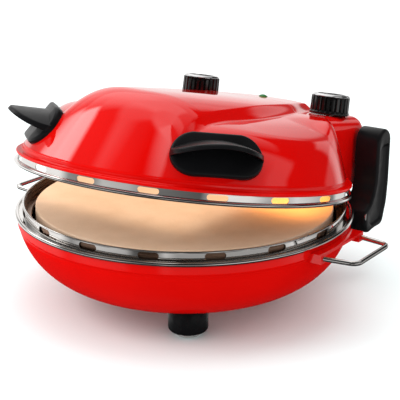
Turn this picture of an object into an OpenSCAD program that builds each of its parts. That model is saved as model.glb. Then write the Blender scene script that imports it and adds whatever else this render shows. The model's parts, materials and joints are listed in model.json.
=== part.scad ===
// Electric pizza maker: a round countertop cooker with a hinged, domed lid.
// A painted steel bowl carries the baking stone and the lower heating element. A domed lid
// carries the upper element and, over the hinge, the control housing with its two knobs.
// Both halves are edged with a bright slotted ring, and the lid's ring telescopes over the base's.
// Units are millimetres. +X is the object's right, +Y its back, +Z up. The lid is drawn ajar.

/* [Base] */
// Height of the rim plane above the table
rim_z = 95; // [92:0.5:110]
// Outer radius of the bowl's skirt
skirt_r = 172.5; // [172.5:0.1:172.8]
// Depth of the skirt below the rim plane
skirt_drop = 9; // [8:0.5:10]
// Radius of the bowl's side seen in section
bowl_arc_r = 79.5; // [79.5:0.5:80.5]
// Depth of the bowl's flat bottom below the rim plane
bowl_depth = 72.1; // [71:0.1:73]
// Sheet thickness of the bowl
bowl_wall = 1.2; // [1:0.1:1.5]
// Depth of the inner pan below the rim plane
pan_depth = 30; // [28:0.5:34]
// Inset of the pan's wall from the bowl's skirt
pan_inset = 15; // [14.5:0.5:15.5]
// Gap round the baking stone
stone_gap = 3.5; // [3:0.5:7]
// Thickness of the baking stone
stone_t = 13; // [11:0.5:13]
// Height of the stone's top above the rim plane
stone_top = 9; // [7:0.5:9]

/* [Bright rings] */
// Inset of the base ring's wall from the bowl's skirt
ring_inset = 5.1; // [5:0.1:5.5]
// Height of the base ring above the rim plane
ring_h = 12.8; // [12.6:0.1:13.4]
// Step of the base ring's rolled bead outside the bowl's skirt
base_bead_out = 2.5; // [2.1:0.1:2.9]
// Radius of the base ring's rolled bead in section
base_bead_t = 2.25; // [2:0.05:2.3]
// Angle left open at the back of the base ring's wall
ring_gap_angle = 106; // [104:1:112]
// Clearance at which the lid ring passes over the base ring
telescope_gap = 2; // [1.8:0.1:2.1]
// Step of the lid ring's rolled bead outside its wall
lid_bead_out = 3.8; // [3.4:0.1:3.8]
// Height of the lid ring
lid_ring_h = 10.4; // [10.4:0.1:10.6]
// Number of vent slots around each ring
slot_count = 17; // [15:1:17]
// Length of one vent slot
slot_length = 20; // [18:0.5:22]
// Height of one vent slot in the base ring
base_slot_h = 6.6; // [5.5:0.1:6.8]
// Height of one vent slot in the lid ring
lid_slot_h = 5.4; // [4.8:0.1:5.6]

/* [Lid] */
// Inset of the lid's collar from the lid ring's wall
collar_inset = 4.2; // [4:0.1:4.4]
// Height of the collar's top above the lid ring's foot
collar_top = 18; // [18:0.1:18.4]
// Step of the painted lip outside the collar
lip_out = 6.6; // [6:0.1:7]
// Thickness of the painted lip
lip_t = 3; // [2.5:0.1:3.2]
// Sheet thickness of the lid
lid_wall = 2; // [1.8:0.1:2.2]
// Angle by which the lid stands open
rest_angle = 10.25; // [9:0.25:11]
// Height of the lid ring's foot above the rim plane when shut
shut_gap = 4.8; // [4.8:0.1:5.2]
// Full travel of the lid from shut
lid_travel = 95; // [90:1:95]

/* [Hinge] */
// Distance of the hinge line inside the bowl's skirt radius
hinge_inset = 0.5; // [0.3:0.1:0.7]
// Height of the hinge line above the rim plane
hinge_f = 32.8; // [32.8:0.1:33]
// Radius of the hinge pins
pin_r = 4; // [3.5:0.1:4.5]
// Running clearance of the pins in the lid's knuckles
pin_clear = 0.05; // [0.03:0.01:0.09]
// Gap between the control housing and each hinge arm
arm_gap = 4; // [3.5:0.1:4.5]
// Thickness of a hinge arm
arm_t = 28; // [24:0.5:30]

/* [Control housing] */
// Half width of the control housing
box_half = 110; // [109.8:0.1:110.2]
// Reach of the housing behind the hinge line
box_reach = 18; // [17.8:0.1:18.4]
// Height of the housing's top over the lid ring's foot
box_top = 73.5; // [73:0.1:74]
// Radius of the housing's shoulders
box_round = 16; // [14:0.5:17]
// Height of the raised centre strip's top over the lid ring's foot
strip_top = 82.5; // [81.5:0.1:83]
// Distance of each knob's axis from the housing's side
knob_inset = 25.7; // [25:0.1:26.5]
// Distance of the knobs' axes in front of the hinge line
knob_ahead = 29.5; // [28:0.1:31]
// Radius of a knob
knob_r = 21.6; // [19:0.1:22]
// Height of a knob
knob_h = 22; // [19:0.1:23]
// Number of grip flutes on a knob
flute_count = 24; // [18:1:30]
// Radius of a knob's shaft
shaft_r = 3; // [2.8:0.1:3.5]
// Running clearance of a shaft in its bush
shaft_clear = 0.05; // [0.03:0.01:0.09]

/* [Handles and feet] */
// Length of a lid handle's plate
plate_l = 87; // [84:0.5:90]
// Width of a lid handle's plate
plate_w = 45; // [42:0.5:48]
// Reach of the visor over the plate
visor_reach = 35.6; // [32:0.1:37]
// Bearing of each lid handle from the front
handle_bearing = 44.6; // [43:0.1:48]
// Radius of the side handles' wire
wire_r = 2.4; // [2.2:0.1:2.8]
// Reach of the side handles from the middle
wire_reach = 216; // [212:0.5:218]
// Radius of a foot
foot_r = 19; // [16:0.5:20]
// Distance of each foot's axis from the middle
foot_pitch = 105; // [100:0.5:108]
// Thickness of a foot's metal glide
glide_t = 2.6; // [2:0.1:3]

/* [Heating] */
// Radius of both heating elements' rings
element_r = 100; // [92:0.5:106]
// Radius of the heating elements' sheath
sheath_r = 3.25; // [3:0.05:3.6]
// Depth of the lower element's axis below the rim plane
lower_element = 17; // [15:0.1:18]
// Height of the upper element's axis over the lid ring's foot
upper_element = 26; // [24:0.1:27]

/* [Hidden] */
$fn = 96;

paint = [0.80, 0.06, 0.05];
bright = [0.80, 0.80, 0.82];
dull_steel = [0.62, 0.62, 0.64];
black = [0.07, 0.07, 0.08];
stone_tone = [0.86, 0.74, 0.58];

// The object's own origin is on the table under the middle of its plan outline.
plan_centre = 10.4;
ring_sheet = 0.8;
bowl_step = 2;
bowl_over = 1;
bowl_flat_r = skirt_r + bowl_over - bowl_arc_r;
bowl_centre_f = bowl_arc_r - bowl_depth;
pan_r = skirt_r - pan_inset;
stone_r = pan_r - stone_gap;
ring_wall_r = skirt_r - ring_inset;
base_bead_r = skirt_r + base_bead_out;
lid_wall_r = ring_wall_r + telescope_gap + ring_sheet;
lid_bead_r = lid_wall_r + lid_bead_out;
collar_r = lid_wall_r - collar_inset;
lip_r = collar_r + lip_out;
hinge_y = skirt_r - hinge_inset;
pivot_h = hinge_f - shut_gap;
arm_in = box_half + arm_gap;
arm_out = arm_in + arm_t;
box_back = hinge_y + box_reach;
knob_x = box_half - knob_inset;
knob_y = hinge_y - knob_ahead;
slot_pitch = 360 / slot_count;
first_slot = -87.8;
foot_bearings = [-53, 67, 187];
foot_top = 58;
foot_bevel = 4;
glide_r = 10;
screw_r = 2;
cut = 400;

// ---------- placing ----------

// Puts children drawn about the rim's centre at their place over the table.
module at_rim() translate([0, -plan_centre, rim_z]) children();

// Puts children drawn in the shut lid's own heights at their place on the open lid.
module on_lid() at_rim() translate([0, hinge_y, hinge_f]) rotate([-rest_angle, 0, 0])
    translate([0, -hinge_y, -pivot_h]) children();

// Repeats children on the left and on the right.
module both_sides() { children(); mirror([1, 0, 0]) children(); }

// A cylinder along X from x0 to x1.
module bar_x(x0, x1, r) translate([x0, 0, 0]) rotate([0, 90, 0]) cylinder(h = x1 - x0, r = r);

// ---------- base ----------

// The bowl's solid of revolution, drawn smaller by an inset for its inside.
module bowl_solid(inset, top) rotate_extrude($fn = 180) intersection() {
    union() {
        translate([0, inset - skirt_drop]) square([skirt_r - inset, skirt_drop - inset + top]);
        translate([0, -skirt_drop - 8]) square([skirt_r - bowl_step - inset, skirt_drop + 8]);
        translate([0, bowl_centre_f - bowl_arc_r + inset])
            square([bowl_flat_r, bowl_arc_r - bowl_centre_f - inset]);
        intersection() {
            translate([bowl_flat_r, bowl_centre_f]) circle(r = bowl_arc_r - inset);
            translate([0, -cut - skirt_drop - 2]) square([skirt_r - bowl_step - inset, cut]);
        }
    }
    union() {
        translate([bowl_flat_r, bowl_centre_f]) circle(r = bowl_arc_r - inset);
        translate([0, bowl_centre_f - bowl_arc_r + inset]) square([bowl_flat_r, cut]);
        translate([0, -skirt_drop]) square([skirt_r, cut]);
    }
}

// Holes for the feet's screws, the terminal posts and the cord.
module bowl_holes() {
    for (a = foot_bearings) rotate([0, 0, a])
        translate([foot_pitch, 0, -cut / 2]) cylinder(h = cut / 2, r = screw_r);
    translate([0, inlet_y - inlet_l, -inlet_drop]) rotate([-90, 0, 0]) cylinder(h = 3 * inlet_l, r = inlet_r);
}

module base_shell() color(paint) at_rim() difference() {
    bowl_solid(0, 0);
    bowl_solid(bowl_wall, 1);
    bowl_holes();
    both_sides() arm_bolt_hole();
}

pan_flange_r = skirt_r - bowl_wall;
leg_x = 9;
leg_y = sqrt(element_r * element_r - leg_x * leg_x);
sleeve_r = 6;

module base_pan() color(dull_steel) at_rim() difference() {
    rotate_extrude($fn = 180) polygon([[0, -pan_depth - ring_sheet], [pan_r + ring_sheet, -pan_depth - ring_sheet],
        [pan_r + ring_sheet, -ring_sheet], [pan_flange_r, -ring_sheet], [pan_flange_r, 0],
        [pan_r, 0], [pan_r, -pan_depth], [0, -pan_depth]]);
    for (s = [-1, 1]) translate([s * leg_x, leg_y, -pan_depth - 2]) cylinder(h = 4, r = sleeve_r);
}

// One obround slot through a ring's wall, long side along the rim.
module slot_cutter(r, h, slot_h) translate([r - 1.6, 0, h]) rotate([0, 90, 0]) linear_extrude(3)
    union() {
        for (s = [-1, 1]) translate([0, s * (slot_length - slot_h) / 2]) circle(d = slot_h, $fn = 32);
        square([slot_h, slot_length - slot_h], center = true);
    }

// All slots of one ring that fall outside the gap left at the back.
module slot_cutters(r, h, slot_h, gap) for (i = [0 : slot_count - 1]) {
    a = first_slot + i * slot_pitch;
    if (abs(a - 90) > gap / 2) rotate([0, 0, a]) slot_cutter(r, h, slot_h);
}

top_roll = 1.1;
slot_margin = 9;

module base_ring() color(bright) at_rim() {
    rotate_extrude($fn = 180) {
        translate([base_bead_r - base_bead_t, base_bead_t]) circle(r = base_bead_t, $fn = 32);
        translate([pan_r, 0]) square([base_bead_r - base_bead_t - pan_r, ring_sheet]);
    }
    difference() {
        rotate_extrude($fn = 180) {
            translate([ring_wall_r - ring_sheet, ring_sheet / 2])
                square([ring_sheet, ring_h - top_roll - ring_sheet / 2]);
            translate([ring_wall_r - top_roll, ring_h - top_roll]) circle(r = top_roll, $fn = 24);
        }
        slot_cutters(ring_wall_r, base_slot_f, base_slot_h, ring_gap_angle + slot_margin);
        translate([0, 0, ring_sheet]) linear_extrude(cut) polygon([[0, 0],
            for (s = [-1, 1]) cut * [s * sin(ring_gap_angle / 2), cos(ring_gap_angle / 2)]]);
    }
}
base_slot_f = 7.9;

module baking_stone() color(stone_tone) at_rim() rotate_extrude($fn = 180) difference() {
    translate([0, stone_top - stone_t]) square([stone_r, stone_t]);
    translate([stone_r, stone_top]) rotate([0, 0, 45]) square(1.6, center = true);
}

post_pitch = 130;
post_bearings = [30, 150, 210, 330];

module stone_posts() color(dull_steel) at_rim() for (a = post_bearings) rotate([0, 0, a]) {
    translate([post_pitch, 0, -pan_depth]) cylinder(h = pan_depth + stone_top - stone_t, r = 5);
    translate([post_pitch, 0, -pan_depth]) cylinder(h = 2, r = 9);
}

// A ring-shaped sheathed element whose ends sit in two upright ferrules at the back.
ferrule_r = sheath_r + 0.9;
module element(leg) {
    gap = asin(leg_x / element_r);
    rotate([0, 0, 90 + gap]) rotate_extrude(angle = 360 - 2 * gap, $fn = 120)
        translate([element_r, 0]) circle(r = sheath_r, $fn = 32);
    for (s = [-1, 1]) translate([s * leg_x, leg_y, leg > 0 ? -ferrule_r : leg])
        cylinder(h = abs(leg) + ferrule_r, r = ferrule_r, $fn = 32);
}

module lower_heating_element() color(dull_steel) at_rim() translate([0, 0, -lower_element])
    element(lower_element - pan_depth - 8);

clip_bearings = [-150, -90, -30, 30, 150];
clip_l = 13;
clip_w = 8;
block_depth = 22;
block_h = 16;

module lower_element_clips() color(bright) at_rim() difference() {
    for (a = clip_bearings) rotate([0, 0, a]) translate([element_r, 0, (-pan_depth - lower_element) / 2])
        cube([clip_l, clip_w, pan_depth - lower_element], center = true);
    translate([0, 0, -lower_element]) rotate_extrude($fn = 120)
        translate([element_r, 0]) circle(r = sheath_r, $fn = 32);
}

module lower_terminal_block() color([0.93, 0.92, 0.88]) at_rim() difference() {
    for (s = [-1, 1]) translate([s * leg_x, leg_y, 0]) {
        translate([0, 0, -pan_depth - 5]) cylinder(h = 8, r = sleeve_r);
        translate([-leg_x + 1, -block_depth / 2, -pan_depth - block_h])
            cube([2 * leg_x - 2, block_depth, block_h - ring_sheet]);
    }
    for (s = [-1, 1]) translate([s * leg_x, leg_y, -pan_depth - 8]) cylinder(h = 40, r = ferrule_r, $fn = 32);
}

// ---------- feet ----------

module each_foot() at_rim() for (a = foot_bearings) rotate([0, 0, a]) translate([foot_pitch, 0, 0]) children();

module feet() color(black) difference() {
    each_foot() difference() {
        translate([0, 0, glide_t - rim_z]) rotate_extrude() difference() {
            square([foot_r, rim_z - foot_top - glide_t]);
            translate([foot_r, 0]) rotate([0, 0, 45]) square(foot_bevel * sqrt(2), center = true);
        }
        translate([0, 0, -rim_z - 1]) cylinder(h = rim_z, r = screw_r);
    }
    at_rim() bowl_solid(0, 0);
}

module foot_glides() color(bright) each_foot() translate([0, 0, -rim_z]) difference() {
    cylinder(h = glide_t, r = glide_r);
    translate([0, 0, -1]) cylinder(h = glide_t + 2, r = screw_r);
    translate([0, 0, -1]) cylinder(h = 2.4, r = 4);
}

nut_top = 64;

module foot_screws() color(dull_steel) {
    each_foot() {
        translate([0, 0, -rim_z + 0.2]) cylinder(h = rim_z - nut_top, r = screw_r);
        translate([0, 0, -rim_z + 0.2]) cylinder(h = 1.2, r = 4);
    }
    intersection() {
        each_foot() translate([0, 0, -nut_top - 9]) cylinder(h = 8, r = 5);
        at_rim() bowl_solid(bowl_wall, 1);
    }
}

// ---------- hinge arms ----------

arm_top_c = [hinge_y + 3, 55];
arm_top_r = 15;
root_in = 96;
root_out = arm_out - 12;
root_top = 12;
root_low = 36;

// The arm seen from the side: a tall post with an arched top and a foot that reaches forward.
module arm_side() {
    translate(arm_top_c) circle(r = arm_top_r);
    translate([hinge_y, 0]) polygon([[-12, 55], [-12.6, 17], [-16.5, 3], [-24, -8], [-35.3, -14], [-36, -26],
        [-32.5, -36], [-25, -40], [-11, -38], [4, -38], [10.5, -34], [16, -13], [18, 10], [18, 55]]);
}

module arm_recess() translate([hinge_y - 2.5, 0]) polygon([[-7, 50], [-7.6, 16], [-12, 0], [-20, -12],
    [-26, -20], [-23, -33], [-9, -32], [5, -31], [11, -13], [14, 10], [14, 50]]);

// Extrudes a side view drawn in (y, height) along X.
module along_x(x0, x1) translate([x0, 0, 0]) rotate([90, 0, 90]) linear_extrude(x1 - x0) children();

module arm_bolt_hole() translate([arm_bolt_x, 0, -arm_bolt_drop]) rotate([-90, 0, 0])
    cylinder(h = 160, r = screw_r);
arm_bolt_x = 104;
arm_bolt_drop = 24;
nut_y = hinge_y - 47;
bolt_end = hinge_y - 31;
root_front = hinge_y - 60;
root_back = hinge_y - 25;
arm_screw = [hinge_y - 32.3, -19.7];
panel_depth = 1.6;

module hinge_arm() color(black) at_rim() difference() {
    union() {
        along_x(arm_in, arm_out) arm_side();
        translate([root_in, root_front, -root_low])
            cube([root_out - root_in, root_back - root_front, root_low - root_top]);
    }
    bowl_solid(0, 0);
    along_x(arm_out - panel_depth, arm_out + 1) arm_recess();
    translate([0, hinge_y, hinge_f]) bar_x(arm_in - 1, arm_in + 14, pin_r);
    translate([0, arm_screw[0], arm_screw[1]]) bar_x(arm_out - 12, arm_out + 1, screw_r);
    translate([0, arm_screw[0], arm_screw[1]]) bar_x(arm_out - 1.2, arm_out + 1, 4);
    translate([arm_bolt_x, nut_y, -arm_bolt_drop]) rotate([-90, 0, 0]) cylinder(h = bolt_end - nut_y, r = screw_r);
}

module right_hinge_arm() hinge_arm();
module left_hinge_arm() mirror([1, 0, 0]) hinge_arm();

module arm_screws() color(bright) at_rim() both_sides() {
    translate([0, arm_screw[0], arm_screw[1]]) bar_x(arm_out - 12, arm_out - 1.2, screw_r);
    translate([0, arm_screw[0], arm_screw[1]]) bar_x(arm_out - 1.2, arm_out - 0.2, 4);
    translate([arm_bolt_x, nut_y, -arm_bolt_drop]) rotate([-90, 0, 0]) cylinder(h = bolt_end - nut_y, r = screw_r);
    intersection() {
        translate([arm_bolt_x, nut_y, -arm_bolt_drop]) rotate([-90, 0, 0]) cylinder(h = 12, r = 4.5);
        bowl_solid(bowl_wall, 1);
    }
}

knuckle_in = box_half - 12;
knuckle_out = box_half - lid_wall;

module hinge_pins() color(bright) at_rim() both_sides() translate([0, hinge_y, hinge_f])
    bar_x(knuckle_in, arm_in + 14, pin_r);

// ---------- side handles ----------

bracket_y = [-35, 52];
bracket_f = [-12.5, -3.4];
bracket_x = skirt_r + 8.5;
bracket_in = skirt_r - 22.5;
bracket_end = 9;
wire_f = -8;
wire_mid = 8.5;
wire_half = 34.5;
wire_root = skirt_r - 0.8;
wire_bend = 9;
wire_lean = 9;

module handle_bracket() color(paint) at_rim() difference() {
    translate([bracket_in, bracket_y[0], bracket_f[0]])
        cube([bracket_x - bracket_in, bracket_y[1] - bracket_y[0], bracket_f[1] - bracket_f[0]]);
    translate([bracket_in + 10, bracket_y[0] + bracket_end, bracket_f[0] - 1])
        cube([bracket_x, bracket_y[1] - bracket_y[0] - 2 * bracket_end, bracket_f[1] - bracket_f[0] - 1.6]);
    bowl_solid(0, 0);
    wire_path();
}

// A hair-thin band round the wire where a bend meets a straight, lying along X.
module bend_band() bar_x(-0.3, 0.3, wire_r + 0.05);

grip_x = wire_reach - wire_r;
corner_x = grip_x - wire_bend;
bend_y = wire_half - wire_bend;

// One end of the bent wire: a round corner and the leg into the bracket.
module wire_leg() {
    leg_end = [corner_x + wire_bend * sin(wire_lean), bend_y + wire_bend * cos(wire_lean)];
    leg_run = (leg_end[0] - wire_root) / cos(wire_lean);
    translate([grip_x, bend_y, 0]) rotate([0, 0, 90]) bend_band();
    translate([corner_x, bend_y, 0]) rotate_extrude(angle = 90 - wire_lean)
        translate([wire_bend, 0]) circle(r = wire_r, $fn = 40);
    translate([leg_end[0], leg_end[1], 0]) rotate([0, 0, 180 - wire_lean]) {
        bend_band();
        bar_x(0, leg_run, wire_r);
    }
}

// The bent wire: a grip with two round corners and two legs that lean apart.
module wire_path() translate([0, wire_mid, wire_f]) {
    translate([grip_x, 0, 0]) rotate([0, 0, 90]) bar_x(-bend_y, bend_y, wire_r);
    wire_leg();
    mirror([0, 1, 0]) wire_leg();
}

module side_handle() color(bright) at_rim() wire_path();

module right_handle_bracket() handle_bracket();
module left_handle_bracket() mirror([1, 0, 0]) handle_bracket();
module right_side_handle() side_handle();
module left_side_handle() mirror([1, 0, 0]) side_handle();

inlet_y = skirt_r - 22.5;
inlet_drop = 44;
inlet_r = 8;
inlet_l = 24;
gland_r = 12;
gland_l = 12;
cord_bore = 3.6;

module cord_inlet() color(black) at_rim() difference() {
    translate([0, inlet_y - 4, -inlet_drop]) rotate([-90, 0, 0]) {
        cylinder(h = inlet_l, r = inlet_r);
        translate([0, 0, 4]) cylinder(h = gland_l, r = gland_r);
    }
    intersection() {
        bowl_solid(0, 0);
        translate([0, inlet_y - inlet_l, -inlet_drop]) rotate([-90, 0, 0]) difference() {
            cylinder(h = 2 * inlet_l, r = 2 * gland_r);
            translate([0, 0, -1]) cylinder(h = 3 * inlet_l, r = inlet_r);
        }
    }
    translate([0, inlet_y - inlet_l, -inlet_drop]) rotate([-90, 0, 0]) cylinder(h = 3 * inlet_l, r = cord_bore);
}

// ---------- lid shell ----------

// The dome's side is a cone whose circles shrink and drift back as they rise.
side_drift = 0.31;
side_taper = 0.49;
blend_low = 20;
blend_ridge = 26;
ridge_power = 3.2;
// Height of the lower dome's crown at stations from front to back.
crown = [[-166, 50], [-130, 58], [-99, 64.6], [-66, 68.6], [-30, 70.2], [11, 71.6], [90, 72.3], [190, 72.5]];
// Height of the centre ridge's crest at stations from front to back.
crest = [[-166, 88.5], [-100, 89], [-70, 89], [-29, 88], [23, 86.5], [70, 84.6], [121, 83], [190, 81]];
// Fall of the ridge from its crest to its shoulder.
fall = [[-166, 19], [-110, 17], [-80, 15], [-52, 11.5], [26, 4.7], [105, 1.7], [190, 1.5]];
// Half width of the ridge at its shoulder and at its foot.
shoulder = [[-166, 72], [-90, 69], [-52, 68], [20, 66], [60, 62], [105, 56], [142, 46], [190, 44]];
ridge_flank = 11;

function smooth_min(a, b, k) = min(a, b) - pow(max(k - abs(a - b), 0), 2) / (4 * k);
function dome_side(x, y) =
    let (a = side_drift * side_drift - side_taper * side_taper,
         b = 2 * (collar_r * side_taper - side_drift * y),
         c = x * x + y * y - collar_r * collar_r)
    collar_top + (-b + sqrt(max(b * b - 4 * a * c, 0))) / (2 * a);
function ridge_top(x, y) = lookup(y, crest) - lookup(y, fall) * pow(abs(x) / lookup(y, shoulder), ridge_power);
function ramp(u) = u * u * (3 - 2 * u);
function dome_h(x, y) =
    let (s = dome_side(x, y),
         low = smooth_min(s, lookup(y, crown), blend_low),
         high = smooth_min(s, ridge_top(x, y), blend_ridge),
         u = min(max((lookup(y, shoulder) + ridge_flank - abs(x)) / ridge_flank, 0), 1))
    low + max(high - low, 0) * ramp(u);

rows = 44;
cols = 12;
row_start = 2;
shrink = 1 - lid_wall / collar_r;
// Plan place of a grid point: rows run front to back, columns from the left edge to the right.
function row_y(j) = -collar_r * cos(row_start + j * (180 - 2 * row_start) / rows);
function half_w(j) = collar_r * sin(row_start + j * (180 - 2 * row_start) / rows);
function col_u(k) = sign(k) * sin(90 * abs(k) / cols);
function outer_point(j, k) = let (x = half_w(j) * col_u(k), y = row_y(j)) [x, y, dome_h(x, y)];
function inner_point(j, k) = let (p = outer_point(j, k))
    [p[0] * shrink, p[1] * shrink, p[2] - lid_wall * min(1, max(0, (p[2] - collar_top) / 8))];
wide = 2 * cols + 1;
grid = (rows + 1) * wide;
function at(j, k, s) = s * grid + j * wide + k;

module dome() polyhedron(
    points = concat([for (j = [0 : rows], k = [-cols : cols]) outer_point(j, k)],
                    [for (j = [0 : rows], k = [-cols : cols]) inner_point(j, k)]),
    faces = concat(
        [for (j = [0 : rows - 1], k = [0 : wide - 2], t = [0, 1]) t == 0
            ? [at(j, k, 0), at(j + 1, k, 0), at(j + 1, k + 1, 0)]
            : [at(j, k, 0), at(j + 1, k + 1, 0), at(j, k + 1, 0)]],
        [for (j = [0 : rows - 1], k = [0 : wide - 2], t = [0, 1]) t == 0
            ? [at(j, k, 1), at(j + 1, k + 1, 1), at(j + 1, k, 1)]
            : [at(j, k, 1), at(j, k + 1, 1), at(j + 1, k + 1, 1)]],
        [for (k = [0 : wide - 2], t = [0, 1]) t == 0
            ? [at(0, k, 0), at(0, k + 1, 0), at(0, k + 1, 1)]
            : [at(0, k, 0), at(0, k + 1, 1), at(0, k, 1)]],
        [for (k = [0 : wide - 2], t = [0, 1]) t == 0
            ? [at(rows, k, 0), at(rows, k + 1, 1), at(rows, k + 1, 0)]
            : [at(rows, k, 0), at(rows, k, 1), at(rows, k + 1, 1)]],
        [for (j = [0 : rows - 1], t = [0, 1]) t == 0
            ? [at(j, 0, 0), at(j, 0, 1), at(j + 1, 0, 1)]
            : [at(j, 0, 0), at(j + 1, 0, 1), at(j + 1, 0, 0)]],
        [for (j = [0 : rows - 1], t = [0, 1]) t == 0
            ? [at(j, wide - 1, 0), at(j + 1, wide - 1, 1), at(j, wide - 1, 1)]
            : [at(j, wide - 1, 0), at(j + 1, wide - 1, 0), at(j + 1, wide - 1, 1)]]));

bay_front = hinge_y - 72;
bay_floor = 44;

module lid_shell() color(paint) on_lid() difference() {
    dome();
    translate([-box_half - 0.1, bay_front, bay_floor]) cube([2 * box_half + 0.2, cut, cut]);
    both_sides() on_slope() handle_screw_shafts(-12, 2);
}

module lid_rim() color(paint) on_lid() rotate_extrude($fn = 180) {
    translate([collar_r - lid_wall, lid_ring_h]) square([lid_wall, collar_top - lid_ring_h]);
    translate([collar_r - lid_wall, lid_ring_h]) square([lip_r - lip_t / 2 - collar_r + lid_wall, lip_t]);
    translate([lip_r - lip_t / 2, lid_ring_h + lip_t / 2]) circle(d = lip_t, $fn = 32);
}

lid_bead = 2;
lid_slot_mid = 6.9;

module lid_ring() color(bright) on_lid() difference() {
    rotate_extrude($fn = 180) {
        translate([lid_wall_r - ring_sheet, 0]) square([ring_sheet, lid_ring_h]);
        translate([lid_bead_r - lid_bead, lid_bead]) circle(r = lid_bead, $fn = 32);
        translate([lid_wall_r - ring_sheet, lid_bead - ring_sheet / 2])
            square([lid_bead_r - lid_bead - lid_wall_r + ring_sheet, ring_sheet]);
    }
    slot_cutters(lid_wall_r, lid_slot_mid, lid_slot_h, 0);
}

liner_slope = 28;
liner_top_r = collar_r - liner_slope;
liner_top = 38;

module lid_liner() color(dull_steel) on_lid() difference() {
    rotate_extrude($fn = 180) polygon([[0, liner_top], [liner_top_r, liner_top],
        [collar_r - lid_wall - 4, lid_ring_h], [lid_wall_r - ring_sheet, lid_ring_h],
        [lid_wall_r - ring_sheet, lid_ring_h - ring_sheet], [collar_r - lid_wall - 4.5, lid_ring_h - ring_sheet],
        [liner_top_r - 0.6, liner_top - ring_sheet], [0, liner_top - ring_sheet]]);
    for (s = [-1, 1]) translate([s * leg_x, leg_y, liner_top - 2]) cylinder(h = 4, r = sleeve_r);
}

module upper_heating_element() color(dull_steel) on_lid() translate([0, 0, upper_element])
    element(liner_top + 8 - upper_element);

module upper_element_clips() color(bright) on_lid() difference() {
    clip_h = liner_top - ring_sheet - upper_element;
    for (a = clip_bearings) rotate([0, 0, a])
        translate([element_r, 0, upper_element + clip_h / 2]) cube([clip_l, clip_w, clip_h], center = true);
    translate([0, 0, upper_element]) rotate_extrude($fn = 120)
        translate([element_r, 0]) circle(r = sheath_r, $fn = 32);
}

module upper_terminal_block() color([0.93, 0.92, 0.88]) on_lid() difference() {
    union() {
        for (s = [-1, 1]) translate([s * leg_x, leg_y, liner_top - 3]) cylinder(h = 5, r = sleeve_r);
        translate([-2 * leg_x + 1, leg_y - block_depth / 2, liner_top])
            cube([4 * leg_x - 2, block_depth, block_h - 2]);
    }
    for (s = [-1, 1]) translate([s * leg_x, leg_y, liner_top - 30])
        cylinder(h = 38, r = ferrule_r, $fn = 32);
}

// ---------- control housing ----------

barrel_r = 27.5;
housing_front = bay_front + 0.3;

// The housing from the side, drawn in (y, height) and smaller by an inset.
module housing_side(t) {
    intersection() {
        union() {
            translate([housing_front, bay_floor]) square([box_back - box_round - housing_front, strip_top]);
            translate([box_back - box_round, pivot_h]) square([box_round - t, box_top - box_round - pivot_h]);
            polygon([[housing_front, bay_floor], [bay_front + 17.3, bay_floor], [bay_front + 26.6, 18.2],
                [hinge_y - 36, 13.6], [hinge_y - 36, 0.6 + t], [hinge_y, 0.6 + t],
                [box_back - box_round, pivot_h], [box_back - box_round, strip_top],
                [housing_front, strip_top]]);
            translate([box_back - box_round, box_top - box_round]) circle(r = box_round - t);
            intersection() {
                translate([hinge_y, pivot_h]) circle(r = barrel_r - t);
                translate([hinge_y - barrel_r, -20]) square([box_back - t - hinge_y + barrel_r, pivot_h + 20]);
            }
        }
        translate([0, -20]) square([box_back, box_top - t + 20]);
    }
}

// The housing from the front, drawn in (x, height) and smaller by an inset.
module housing_face(t) {
    for (s = [-1, 1]) translate([s * (box_half - box_round), box_top - box_round]) circle(r = box_round - t);
    translate([-box_half + t, -20]) square([2 * (box_half - t), box_top - box_round + 20]);
    translate([-box_half + box_round, -20]) square([2 * (box_half - box_round), box_top - t + 20]);
}

strip_foot = box_half - 50;
strip_head = box_half - 64;
strip_back = box_back - 6;

module housing_block(t) {
    intersection() {
        along_x(-box_half, box_half) housing_side(t);
        rotate([90, 0, 0]) translate([0, 0, -cut]) linear_extrude(2 * cut) housing_face(t);
    }
    translate([0, strip_back - t, 0]) rotate([90, 0, 0]) linear_extrude(strip_back - t - housing_front)
        polygon([[-strip_foot + t, box_top - t - 6], [-strip_foot + t, box_top - t], [-strip_head, strip_top - t],
                 [strip_head, strip_top - t], [strip_foot - t, box_top - t], [strip_foot - t, box_top - t - 6]]);
}

lens_r = 4.5;
bush_r = 5;

module control_housing() color(paint) on_lid() difference() {
    housing_block(0);
    difference() {
        housing_block(lid_wall);
        translate([-cut / 2, housing_front - 1, -cut / 2]) cube([cut, 0.9, cut]);
    }
    translate([-box_half + lid_wall, housing_front - 1, bay_floor - 1])
        cube([2 * (box_half - lid_wall), 40, box_top - box_round - bay_floor]);
    translate([-box_half + lid_wall, bay_front + 26, -1]) cube([2 * (box_half - lid_wall), 30, bay_floor]);
    translate([0, 0, -1]) cylinder(h = 15.2, r = lid_bead_r + 0.4, $fn = 180);
    for (s = [-1, 1]) translate([s * knob_x, knob_y, box_top - 8]) cylinder(h = 10, r = bush_r);
    translate([0, knob_y, strip_top - 8]) cylinder(h = 10, r = lens_r - 0.5);
    both_sides() translate([0, hinge_y, pivot_h]) bar_x(box_half - 4, box_half + 1, pin_r + 0.6);
}

module hinge_knuckles() color(dull_steel) on_lid() both_sides() translate([0, hinge_y, pivot_h]) difference() {
    union() {
        bar_x(knuckle_in, knuckle_out, 9);
        translate([knuckle_out - 3, -16, -12]) cube([3, 32, 34]);
    }
    bar_x(knuckle_in - 1, knuckle_out + 1, pin_r + pin_clear);
}

// ---------- lid handles ----------

seat_h = 42;
seat_s = seat_h - collar_top;
seat_taper = side_taper + side_drift * sin(90 - handle_bearing);
seat_r = collar_r - seat_taper * seat_s;
seat_tilt = atan(seat_taper);
seat_curve = seat_r / cos(seat_tilt);
seat_yaw = 1.4;
seat_gap = 0.6;
plate_t = 5.5;
visor_t = 6;
visor_root = -17;
visor_sag = 11;
visor_dip = 34;
handle_screw_y = 22;

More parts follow.
